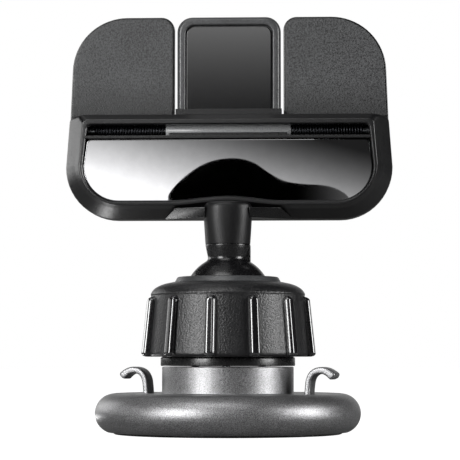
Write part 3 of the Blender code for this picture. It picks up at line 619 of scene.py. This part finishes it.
# %% Twist ring
low, high = span("twist_ring")
TUBE, WALL = 5.6, 1.6
tube_centre = (high[0] - TUBE, high[2] - TUBE)
pad_edge = span("suction_pad")[1][0]
profile = np.concatenate(
    [
        arc(tube_centre, TUBE, 90, -68, 44),
        [(pad_edge + 0.5, 0.75), (pad_edge + 0.4, 0.95), (pad_edge + 0.4, 2.6), (24.8, 2.6), (24.8, 4.4)],
        arc(tube_centre, TUBE - WALL, -20.5, 90, 16),
    ]
)
piece("twist_ring_shell", "ring", silver, solid(turned(profile, 200), "joined"),
      stands_for=["twist_ring"], slot="silver_lacquer")
print("ring across:", round(2 * high[0], 1), "mm")

# %% [markdown]
# ## Hub
# The hub is one moulding: a flange inside the ring, a skirt below it and the cylinder that carries the ball
# joint. Where the cylinder meets the flange a small fillet is left by the mould. Two slots in the skirt
# guide the cross pin of the suction lift.

# %% Hub moulding
low, high = span("base_hub")
flange, floor_z, top = high[0] + 0.1, low[2], high[2]
AXIS, FLANGE_TOP, FLANGE_LOW, CYLINDER, HOLLOW = 0.4, 11.3, 9.3, 18.6, 16
SKIRT_IN, SKIRT_OUT, GUIDE_HALF = 19.5, 24.4, 1.4
path = [
    (AXIS, top - 2), (HOLLOW, top - 2), (HOLLOW, FLANGE_LOW), (SKIRT_IN, FLANGE_LOW), (SKIRT_IN, floor_z),
    (SKIRT_OUT, floor_z), (SKIRT_OUT, FLANGE_LOW), (flange, FLANGE_LOW), (flange, FLANGE_TOP),
    (CYLINDER, FLANGE_TOP), (CYLINDER, top), (AXIS, top),
]
reach = [0, 0.5, 0.3, 0.2, 0.2, 0.2, 0.2, 0.2, 0.25, 0.45, 0.35, 0]
hub = piece("hub_moulding", "base", silver, solid(turned(soften(path, reach, 7), 160)),
            stands_for=["base_hub"], slot="silver_lacquer")
guides = [
    block((s * 22 - 3.2, -GUIDE_HALF, 4.4), (s * 22 + 3.2, GUIDE_HALF, 9.2), 0.05) for s in (-1, 1)
]
carve(hub, *guides)

# %% [markdown]
# ## Suction pad
# The pad is a disc of soft PVC with a dimple in the middle, where the lift's stud goes through.

# %% Suction pad
low, high = span("suction_pad")
DIMPLE, SKIN = 3.6, 0.4
path = [(AXIS, 0.0), (high[0], 0.0), (high[0], high[2]), (DIMPLE, high[2]), (DIMPLE, SKIN), (AXIS, SKIN)]
piece("suction_disc", "base", pvc, solid(turned(soften(path, [0, 0.45, 0.3, 0.1, 0.1, 0], 6), 160)),
      stands_for=["suction_pad"], slot="rubber_pad")

# %% [markdown]
# ## Cable hooks
# The two hooks hold a charging lead. Each is a flat strip that rises from the flange, bends outwards and
# ends in a thicker rounded tip. The strip is a rounded rectangle carried along a curve: at each point of
# the curve the section is laid across the direction of travel.

# %% Cable hooks
def curve(points, steps):
    """A cubic Bezier curve: the sum of its four points weighted by (1-t)^3, 3t(1-t)^2, 3t^2(1-t) and t^3."""
    t = np.linspace(0, 1, steps)[:, None]
    a, b, c, d = np.array(points, float)
    return (1 - t) ** 3 * a + 3 * t * (1 - t) ** 2 * b + 3 * t**2 * (1 - t) * c + t**3 * d


def hook(turn):
    """The strip's grid: path point + thickness x normal + width x tangent of the circle, turned about Z."""
    rise = curve([(24.4, 11.2), (24.4, 12.2), (24.5, 13.0), (24.6, 13.9)], 8)
    bend = curve([(24.6, 13.9), (24.8, 16.5), (26.1, 17.9), (28.3, 17.9)], 18)
    tongue_out = curve([(28.3, 17.9), (29.8, 17.9), (31.0, 17.0), (32.1, 15.9)], 22)
    path = np.concatenate([rise[:-1], bend[:-1], tongue_out])
    run = np.gradient(path, axis=0)
    run /= np.linalg.norm(run, axis=1)[:, None]
    normal = np.stack([run[:, 1], -run[:, 0]], -1)
    s = np.linspace(0, 1, len(path))
    tip = np.sqrt(np.clip(1 - np.clip((s - 0.93) / 0.0702, 0, 1) ** 2, 0.0, 1))
    thick = (0.85 + 0.4 * s**2) * np.maximum(tip, 0.12)
    wide = 2.5 * (1 - 0.12 * (1 - tip))
    a = np.linspace(0, 2 * pi, 40, endpoint=False)
    u = np.sign(np.cos(a)) * np.abs(np.cos(a)) ** 0.45
    v = np.sign(np.sin(a)) * np.abs(np.sin(a)) ** 0.35
    r = path[:, :1] + normal[:, :1] * thick[:, None] * u
    z = path[:, 1:] + normal[:, 1:] * thick[:, None] * u
    w = wide[:, None] * v
    c, d = np.cos(np.radians(turn)), np.sin(np.radians(turn))
    return np.stack([r * c - w * d, r * d + w * c, z], -1)


HOOK_TURN = -19.0
for where, turn in (("right", HOOK_TURN), ("left", HOOK_TURN + 180)):
    piece(f"lead_hook_{where}", "base", silver, solid(hook(turn)),
          stands_for=[f"cable_hook_{where}"], slot="silver_lacquer")

# %% [markdown]
# ## The ball joint
# The post has a collar that shows as a black band under the nut, and a seat inside for the ball's bearings.
# The lip ring above it presses on the ball. Both are plain turned parts with softened corners.

# %% Post and lip ring
low, high = span("socket_post")
COLLAR, COLLAR_TOP, THREAD, BORE, SEAT = high[0], 21.5, 18.6, 15.2, 14.5
BALL_Z, SEAT_TOP, SEAT_EDGE = 37.8, 34.6, 14.2
path = [(AXIS, low[2] - 0.1), (COLLAR, low[2] - 0.1), (COLLAR, COLLAR_TOP), (THREAD, COLLAR_TOP),
        (THREAD, high[2]), (BORE, high[2]), (BORE, SEAT_TOP), (SEAT_EDGE, SEAT_TOP)]
seat = arc((0, BALL_Z), SEAT, -13, -88, 24)
profile = np.concatenate([soften(path, [0, 0.3, 0.45, 0.1, 0.3, 0.2, 0.1, 0], 6), seat])
piece("ball_post", "base", nylon, solid(turned(profile, 120)), stands_for=["socket_post"], slot="black_nylon")

low, high = span("pressure_ring")
path = [(12.85, low[2]), (12.75, 40.0), (12.0, 42.6), (11.8, high[2] - 0.6), (12.2, high[2]), (14.25, high[2]),
        (15.35, 42.2), (15.35, 40.4), (high[0], 40.4), (high[0], low[2])]
profile = soften(path, [0, 1, 0.6, 0.3, 0.25, 0.35, 0.5, 0.1, 0.2, 0], 6)
piece("lip_ring", "clamp_ring", grey_nylon, solid(turned(profile, 160), "joined"),
      stands_for=["pressure_ring"], slot="black_nylon")

# %% [markdown]
# ## The collar nut
# Twelve ribs give the hand its grip. The nut is one grid of radius against angle and height. Its columns
# lie close together at the flanks of a rib, where the surface turns quickly, and far apart on the panels.

# %% Profile and angles of the nut
low, high = span("collar_nut")
RIBS, RIB_TURN, RIB_HALF, RIB_PROUD = 12, -69.6, 1.45, 1.8
nut_low, nut_high, mouth = low[2], high[2], 15.7
path = [(18.9, nut_low), (23.4, nut_low), (21.75, 38.9), (21.9, 39.4),
        (20.9, 40.9), (18.6, 42.1), (mouth, nut_high)]
CORNER_ROWS, WALL_ROWS = 9, 64
wall = soften(path, [0, 1.2, 0.3, 0.35, 1.2, 1.5, 0], CORNER_ROWS)
foot_end, wall_end = wall[CORNER_ROWS], wall[CORNER_ROWS + 1]
fill = np.linspace(foot_end, wall_end, WALL_ROWS + 2)[1:-1]
wall = np.concatenate([wall[: CORNER_ROWS + 1], fill, wall[CORNER_ROWS + 1 :]])
inside = np.array([(mouth - 0.1, nut_high - 0.1), (mouth, 40.8), (18.9, 40.8)])
profile = np.concatenate([wall, inside])
flank = np.linspace(0.6, 1.65, 12)
offsets = np.concatenate([-flank[::-1], [-0.25, 0.25], flank])
sector, RIM = 2 * pi / RIBS, 23.0  # arc lengths on the nut are measured at this radius
rib_angles = offsets / RIM
panel_angles = np.linspace(rib_angles[-1], sector + rib_angles[0], 12)[1:-1]
angle = np.concatenate([rib_angles, panel_angles])
angles = (np.arange(RIBS)[:, None] * sector + angle).ravel() + np.radians(RIB_TURN)
across = (np.tile(angle, RIBS) + sector / 2) % sector - sector / 2
print("nut profile:", len(profile), "points, columns:", len(angles))

# %% [markdown]
# ## Ribs
# A rib is a rounded bar laid on the tapered wall. Its height comes from the signed distance d to a rounded
# rectangle of arc length and height: with t = -d / width, kept from 0 to 1, the rib stands
# sqrt(1 - (1 - t)^2) of its full height, which is a quarter circle.

# %% Rib height
RIB_LOW, RIB_HIGH, RIB_CORNER, FLANK = 21.5, 38.4, 1.3, 0.95


def rib_height(z, turn):
    """How proud the rib stands at a height and an angle from its middle, from 0 to 1."""
    dx = np.abs(turn * RIM) - (RIB_HALF - RIB_CORNER)
    dz = np.abs(z - (RIB_LOW + RIB_HIGH) / 2) - ((RIB_HIGH - RIB_LOW) / 2 - RIB_CORNER)
    inside = np.minimum(np.maximum(dx, dz), 0)
    distance = np.hypot(np.maximum(dx, 0), np.maximum(dz, 0)) + inside - RIB_CORNER
    rise = np.clip(-distance / FLANK + 0.1, 0, 1)
    return np.sqrt(1 - (1 - rise) ** 2)


r, z = profile[:, :1], profile[:, 1:2]
outer = (np.arange(len(profile)) < len(wall))[:, None] & (r > 20.5)
rib = rib_height(z, across[None, :]) * outer
grid_r = r + RIB_PROUD * rib * (1 - 0.12 * (z - nut_low) / (nut_high - nut_low))
grid = np.stack([grid_r * np.cos(angles), grid_r * np.sin(angles), z + 0 * angles], -1)
print("share of the nut that is rib:", round(float(rib.mean()), 2))

# %% [markdown]
# ## Polished ribs, grained panels
# The mould was polished where it forms the ribs, so they gleam while the panels between them stay grained.
# The mesh carries an attribute, rib, that is 1 on a rib: it fades out the bump, lowers the roughness and
# adds a gloss coat.

# %% Collar nut
nylon_nut = moulded("nut_nylon_polished_and_grained", "#08080a", "#161617", 0.5, 0.15, (0.3, 0.42))
tree = nylon_nut.node_tree
shader = tree.nodes["Principled BSDF"]
polish = add(tree, "ShaderNodeAttribute", attribute_name="rib").outputs["Fac"]
bump = next(node for node in tree.nodes if node.bl_idname == "ShaderNodeBump")
rough = next(node for node in tree.nodes if node.bl_idname == "ShaderNodeMapRange")
less = add(tree, "ShaderNodeMapRange", {"Value": polish, "To Min": 1.0, "To Max": 0.03})
tree.links.new(less.outputs[0], bump.inputs["Strength"])
smooth = add(tree, "ShaderNodeMix", {0: polish, 2: rough.outputs[0], 3: 0.13}, data_type="FLOAT")
tree.links.new(smooth.outputs[0], shader.inputs["Roughness"])
tree.links.new(polish, shader.inputs["Coat Weight"])
shader.inputs["Coat IOR"].default_value, shader.inputs["Coat Roughness"].default_value = 1.8, 0.12

nut = piece("ribbed_nut", "nut", nylon_nut, solid(grid, "joined"),
            stands_for=["collar_nut"], slot="black_nylon")
layer = nut.data.attributes.new("rib", "FLOAT", "POINT")
layer.data.foreach_set("value", rib.ravel().astype(np.float32))

# %% [markdown]
# ## Ball and stem
# The ball is turned together with its stem, and a fillet joins the two. A small spine at the stem's side is
# where the two halves of the mould met.

# %% Ball and stem
STEM_TOP, BALL = span("ball_stud")[1][2], 12.5
shoulder = arc((0, BALL_Z), BALL, -86, 57, 60)
fillet = soften([shoulder[-1], (5.5, 49.15), (5.95, 51.2), (6.35, STEM_TOP - 0.15)], [0, 1.4, 1.0, 0], 10)[1:]
tip = STEM_TOP + 0.1
end = soften([(6.35, STEM_TOP - 0.15), (6.35, tip), (6.0, tip), (AXIS, tip)], 0.1, 4)[1:]
spine = block((4.6, -1.4, 46.4), (6.42, 2.6, tip), 0.25)
piece("ball_and_stem", "head", nylon, solid(turned(np.concatenate([shoulder, fillet, end]), 140)),
      stands_for=["ball_stud"], slot="black_nylon")
piece("stem_spine", "head", nylon, spine, slot="black_nylon")

# %% [markdown]
# ## Neck
# The neck is cast round a screw that stands in the stem, and the seam between them is a fine line. Its
# section is a superellipse, |x/a|^n + |y/b|^n = 1: each level raises sine and cosine to the power 2 / n, so
# the column goes from round at the seam to soft-cornered with nearly flat sides at the head.

# %% Neck column
def column(levels, steps=112):
    """A grid of superellipses from (height, half width, half depth, power of sine and cosine)."""
    a = np.linspace(0, 2 * pi, steps, endpoint=False)
    levels = np.asarray(levels)[:, :, None]
    x, y = (np.sign(v) * np.abs(v) ** levels[:, 3] for v in (np.cos(a), np.sin(a)))
    return np.stack([levels[:, 1] * x, levels[:, 2] * y, levels[:, 0] + 0 * x], -1)


low, high = span("neck_bracket")
seam, neck_top = low[2] - 0.12, high[2]
rows = [(seam, 5.6, 5.6, 1), (seam, 6.36, 6.36, 1), (57, 6.6, 6.5, 0.92), (61.5, 6.85, 6.6, 0.85),
        (neck_top, 6.75, 6.5, 0.85), (neck_top, 3, 3, 0.9)]
levels = soften(rows, [0, 0.08, 2, 2, 2.2, 0], 9)
boss = block((-6.9, 1.0, 61.6), (6.9, 12.0, 64.2), 0.3)
piece("neck_column", "head", nylon_satin, solid(column(levels)),
      stands_for=["neck_bracket"], slot="black_abs")
piece("neck_boss", "head", abs_plain, boss, slot="black_abs")

# %% [markdown]
# ## The head's outline
# All parts of the head share one outline: widest at one height, a bit narrower at the top, with large lower
# corners. Over the neck its lower edge swells upwards by hill (1 + cos(pi x / reach)) / 2, which starts and
# ends level.

# %% Outline of the head
WIDEST_Z, HILL_REACH = 76.0, 16.0


def head_loop(half, half_top, low, high, corner, top_corner, hill):
    """An outline in X and Z, with its lower edge raised by hill (1 + cos(pi x / reach)) / 2 over the neck."""
    right = [(half, low, corner), (half, WIDEST_Z, 0), (half_top, high, top_corner)]
    left = [(-x, z, r) for x, z, r in reversed(right)]
    loop = rounded(right + left, 14, 56)
    x, z = loop[:, 0], loop[:, 1]
    lift = hill * (1 + np.cos(pi * np.clip(x / HILL_REACH, -1, 1))) / 2
    loop[:, 1] = z + lift * (z < low + 0.02)
    return loop


print("columns of the head's outline:", len(head_loop(47, 46, 61, 91, 15, 2, 0)))

# %% [markdown]
# ## The front frame
# The frame is a wide tray standing on edge: a bevel runs round it and rises to a narrow rim, and inside the
# rim is the window. Depth, widths, heights, radii and hill go along one softened path, a row for each level.

# %% Front frame
low, high = span("cradle_frame")
side, base_z, top_z, split = high[0], low[2] + 0.3, high[2], high[1]
side_top = side - 1.1
opening, opening_top, SLOT_TOP = 41.3, 40.0, 87.65
levels = [
    # depth, half width, half width at the top, bottom, top, corner, top corner, hill
    (split, side - 1.1, side_top - 1.1, base_z + 1.1, top_z - 0.8, 14.0, 1.0, 0),
    (split, side, side_top, base_z, top_z, 15.0, 1.8, 0),
    (6.0, side, side_top, base_z, top_z, 15.0, 1.8, 0),
    (0.6, side - 3.2, side_top - 3.2, base_z + 2.75, top_z, 13.2, 1.6, 0.3),
    (-1.95, side - 4.6, side_top - 4.6, base_z + 3.6, top_z - 1.7, 12.0, 1.6, 1.2),
    (-2.0, opening + 0.35, opening_top + 0.35, base_z + 4.35, SLOT_TOP + 0.3, 10.6, 1.5, 1.3),
    (-1.65, opening, opening_top, base_z + 4.7, SLOT_TOP, 10.3, 1.5, 1.3),
    (-0.6, opening, opening_top, base_z + 4.7, SLOT_TOP, 10.3, 1.5, 1.3),
    (-0.5, opening + 0.6, opening_top + 0.2, base_z + 3.5, SLOT_TOP, 11.0, 1.5, 0),
    (1.2, opening + 0.6, opening_top + 0.2, base_z + 3.5, SLOT_TOP, 11.0, 1.5, 0),
    (1.3, opening + 0.6, opening_top + 0.5, base_z + 3.5, top_z - 1.2, 11.0, 1.5, 0),
    (split, opening + 0.6, opening_top + 0.5, base_z + 3.5, top_z - 1.2, 11.0, 1.5, 0),
]
reach = [0, 0.4, 0.9, 0.9, 0.45, 0.2, 0.15, 0.05, 0.05, 0.05, 0.05, 0]
front = piece("front_frame", "head", abs_spark,
              solid(layered(soften(levels, reach, 6), head_loop), "joined"),
              stands_for=["cradle_frame"], slot="black_abs")
THROAT = 15.25
carve(front, block((-THROAT, 4.4, 88.0), (THROAT, split + 2, top_z + 2), 0.05))
window_bar = block((-41.4, -1.95, 83.6), (41.4, 1.2, 84.5), 0.2)
piece("window_bar", "head", abs_spark, window_bar, slot="black_abs")

# %% [markdown]
# ## Buttresses
# Two flat facets brace the lower bevel on either side of the neck. Each is a wedge that starts flush with
# the bevel and stands out towards the neck, so the left one faces the light and the right one faces away.

# %% Buttresses
for name, s in (("right", 1), ("left", -1)):
    lower = [(18.6, 6.0), (6.2, -3.6), (6.2, 7.0), (18.6, 7.0)]
    upper = [(15.0, -1.2), (6.2, -4.4), (6.2, 7.0), (15.0, 7.0)]
    heights = base_z + 0.02, 63.85
    rows = [[(s * x, y, z) for x, y in ring] for ring, z in zip((lower, upper), heights)]
    wedge = piece(f"buttress_{name}", "head", abs_plain, solid(np.array(rows)), slot="black_abs")
    soft_edge = wedge.modifiers.new("soft_edge", "BEVEL")
    soft_edge.width, soft_edge.segments = 0.22 * MM, 3

# %% [markdown]
# ## The rear shell
# The rear shell closes the tray. It is the head's outline again, drawn in step by step towards the back, and
# then forward again inside for the hollow that the lever swings into.

# %% Rear shell
def shell_loop(inset, top_inset):
    """The head's outline drawn in at its sides and bottom by one amount, and at its top by another."""
    corner = 15 - 0.9 * inset
    return head_loop(side - inset, side_top - inset, base_z + inset, top_z - top_inset, corner, 1.8, 0)


low, high = span("back_shell")
back, wing_front, wing_back, wing_top = high[1], low[1], 10.7, high[2]
mouth_y, SHELL_WALL, TOP_WALL = wing_front - 0.2, 3.6, 2.2
levels = [(back, 4.5, 4.5), (back, 1.5, 1.5), (12.3, 0, 0),
          (mouth_y, 0, 0), (mouth_y, SHELL_WALL, TOP_WALL), (12.5, SHELL_WALL, TOP_WALL)]
levels = soften(levels, [0, 0.9, 0.9, 0.15, 0.1, 0], 7)
shell = piece("rear_shell", "head", abs_spark, solid(layered(levels, shell_loop)),
              stands_for=["back_shell"], slot="black_abs")
shell_points = [(-43.6, 72.5), (43.6, 72.5), (-43.0, 84.5), (43.0, 84.5), (-3.9, 62.2), (3.9, 62.2)]
SINK, SINK_FLOOR = 1.75, 13.3
sinks = [solid(turned([(SINK, SINK_FLOOR), (SINK, back + 1)], 40, (x, 0, z), "Y")) for x, z in shell_points]
carve(shell, block((-THROAT, wing_front - 1, 87.0), (THROAT, 11.3, top_z + 2), 0.05), *sinks)


# %% [markdown]
# ## Wings and pads
# Two wings rise from the shell's top wall. Each is a flat plate with a large outer and a small inner corner,
# and carries a rubber pad that stops short of its edge. The left ones are the right ones mirrored, with
# their faces turned round so that they still point outwards.

# %% Wings and pads
def wing(inset, low_z=top_z - 1.4):
    """The right wing's outline in X and Z: square at the foot, with a large outer and a small inner corner."""
    inner, outer, outer_high = 15.75 + inset, side_top - inset, side_top - 1.2 - inset
    corners = [(inner, low_z, 0), (outer, low_z, 0), (outer, top_z, 0),
               (outer_high, wing_top - inset, 15.9 - inset), (inner, wing_top - inset, 3.8 - inset)]
    return rounded(corners, 18, 10)


def mirrored(surface):
    """The same closed surface on the other side of X = 0, with its faces turned round."""
    points, faces = surface
    return points * (-1, 1, 1), [face[::-1] for face in faces]


right_wing = plate(wing, wing_front - 0.15, wing_back, 0.45)
right_pad = plate(lambda inset: wing(inset + 0.55, top_z + 0.1), 6.8, wing_front - 0.05, 0.3)
for name, turn in (("right", lambda s: s), ("left", mirrored)):
    piece(f"wing_{name}", "head", abs_plain, turn(right_wing), slot="black_abs")
    piece(f"grip_pad_{name}", "head", rubber, turn(right_pad),
          stands_for=[f"wing_pad_{name}"], slot="textured_rubber")

# %% [markdown]
# ## Screws
# A small screw closes each corner. Its head is a shallow dome with a cross-shaped recess: the surface is a
# height over (radius, angle), pressed down wherever a point lies inside either arm of the cross.

# %% Screws in the back
def screw_head(x, z, radius=1.45, face=13.75, thick=1.0):
    """Polar grid of a head that faces +Y: height = dome - recess, with arms 0.5 mm wide."""
    r = np.concatenate([np.linspace(0.02, 0.95, 16), [1.0]]) * radius
    a = np.linspace(0, 2 * pi, 64, endpoint=False)
    u, v = r[:, None] * np.cos(a), r[:, None] * np.sin(a)
    au, av = np.abs(u), np.abs(v)
    arm = np.minimum(np.maximum(au - 0.25, av - 0.8), np.maximum(av - 0.25, au - 0.8))
    press = 0.45 * np.clip(-arm / 0.12 + 0.5, 0, 1)
    y = face - 0.22 * (r[:, None] / radius) ** 2 - press
    top = np.stack([x + u, y, z + v], -1)
    under = np.stack([x + u[::-1], np.full_like(u, face - thick), z + v[::-1]], -1)
    return solid(np.concatenate([top, under]))


names = [f"shell_screw_{i}" for i in (1, 2, 3, 4)] + ["bracket_screw_1", "bracket_screw_2"]
for name, (x, z) in zip(names, shell_points):
    piece(name.replace("screw", "screw_head"), "head", zinc, screw_head(x, z), slot="zinc_steel")

# %% [markdown]
# ## Hinge pin and springs
# The jaw rocks on a steel pin that shows through the slot. On each half of the pin sits a torsion spring,
# close wound: the wire's centre follows (R cos a, R sin a, pitch a / 2 pi), and a small circle is carried
# along it in the plane of the outward direction and the one square to both.

# %% Pin and springs
low, high = span("hinge_pin")
hinge_y, hinge_z = (low[1] + high[1]) / 2, (low[2] + high[2]) / 2
half = high[0]
path = soften([(0.1, -half), (1.0, -half), (1.0, half), (0.1, half)], 0.2)
piece("rocker_pin", "head", zinc, solid(turned(path, 32, (0, hinge_y, hinge_z), "X")),
      stands_for=["hinge_pin"], slot="zinc_steel")


def helix(start, end, radius, wire_radius, turns, steps=22, sides=8):
    """A wire wound about the hinge's axis between two X places."""
    a = np.linspace(0, 2 * pi * turns, int(turns * steps))[:, None]
    b = np.linspace(0, 2 * pi, sides, endpoint=False)
    rr = radius + wire_radius * np.cos(b)
    x = start + (end - start) * a / a[-1] + wire_radius * np.sin(b)
    return solid(np.stack([x, hinge_y + rr * np.cos(a), hinge_z + rr * np.sin(a)], -1))


for name, s in (("right", 1), ("left", -1)):
    coil = helix(s * 18.5, s * 38.4, 1.75, 0.37, 25)
    piece(f"torsion_coil_{name}", "head", wire, coil,
          stands_for=[f"torsion_spring_{name}"], slot="spring_steel")

# %% [markdown]
# ## The jaw's tongue
# Tongue, barrel and thumb lever are one rocking part. The tongue has a raised border, a groove inside it and
# a satin facing let into the pocket. Its levels go from the back round the edge to the pocket's floor.

# %% Tongue
tongue_half, tongue_top = 14.95, span("jaw_arm")[1][2]


def tongue(inset, low_z=85.4, corner=4.4):
    """The tongue's outline in X and Z, square at the foot."""
    half, high = tongue_half - inset, tongue_top - inset
    r = max(corner - 0.75 * inset, 0.5)
    return rounded([(-half, low_z, 0), (half, low_z, 0), (half, high, r), (-half, high, r)], 16, 8)


levels = [(10.4, 1.6), (10.4, 0), (7.7, 0), (6.95, 0.65), (6.8, 1.0),  # depth and inset
          (6.8, 2.05), (7.0, 2.3), (8.0, 2.45), (8.1, 3.2)]
levels = soften(levels, [0, 0.5, 0.25, 0.25, 0.2, 0.2, 0.15, 0.1, 0], 5)
piece("clip_tongue", "jaw", grey_abs, solid(layered(levels, tongue)), stands_for=["jaw_arm"], slot="black_abs")
facing = plate(lambda inset: tongue(2.75 + inset, top_z - 2), 7.25, 7.95, 0.15)
piece("tongue_facing", "jaw", satin, facing, stands_for=["jaw_inset"], slot="satin_black")

# %% [markdown]
# ## Barrel and what hides behind
# The barrel turns on the pin and shows in the middle of the slot. A block behind it joins it to the tongue,
# whose rear face has a grip pad of its own.

# %% Barrel, block and grip pad
barrel = [(1.3, -17.9), (2.0, -17.9), (2.2, -17.7), (2.2, 17.7), (2.0, 17.9), (1.3, 17.9)]
barrel = solid(turned(barrel, 64, (0, hinge_y, hinge_z), "X"), "joined")
# The barrel's light grey is grey ABS with a painted highlight.
piece("hinge_barrel", "jaw", barrel_grey_lit, barrel, slot="black_abs")
goose_neck = block((-14.9, hinge_y + 1.6, 85.4), (14.9, 8.0, 88.1), 0.2)
piece("goose_neck", "jaw", abs_plain, goose_neck, slot="black_abs")
low, high = span("jaw_pad")
grip = plate(lambda inset: tongue(3.0 + inset, low[2], 4.4), low[1] - 0.25, high[1], 0.25)
piece("tongue_grip", "jaw", rubber, grip, stands_for=["jaw_pad"], slot="textured_rubber")

# %% [markdown]
# ## Thumb lever
# The lever fills the window. Its polished facing is a thin plate whose edge follows the window's rim, drawn
# in by 0.3 mm, and the lever stands behind it on an arm that reaches up to the barrel.

# %% Thumb lever and its facing
def panel(inset):
    """The window's outline drawn in: it follows the rim, so the gap round the facing stays even."""
    return head_loop(41.3 - inset, 40.3 - inset, 65.4 + inset, 83.6 - inset, 10.3 - inset, 1.1, 1.3)


low, high = span("lever_cover")
piece("lever_facing", "jaw", acrylic, plate(lambda inset: panel(inset + 0.3), low[1], high[1], 0.18),
      stands_for=["lever_cover"], slot="gloss_black", sharp=30)
lever = plate(lambda inset: panel(inset + 0.8), high[1] + 0.02, 1.1, 0.2)
piece("thumb_lever", "jaw", abs_plain, lever, slot="black_abs")
lever_arm = block((-17, 1.0, 78.4), (17, 3.3, 85.6), 0.3)
piece("lever_arm", "jaw", abs_plain, lever_arm, slot="black_abs")

# %% [markdown]
# ## What stays from the frame
# The pieces inside the base and the ball joint keep their CAD meshes, since they hardly ever show. They get
# the finish of what they are made of.

# %% Finishes for the inner parts
by_slot = {
    "zinc_steel": zinc, "spring_steel": wire, "acetal": acetal, "black_abs": abs_plain, "black_nylon": nylon,
    "silver_lacquer": silver, "rubber_pad": pvc, "textured_rubber": rubber, "gloss_black": acrylic,
    "satin_black": satin,
}
for part in frame["record"]["subparts"]:
    node = frame["nodes"][part["node"]]
    node.data.materials.clear()
    node.data.materials.append(by_slot[part["material_slot"]])
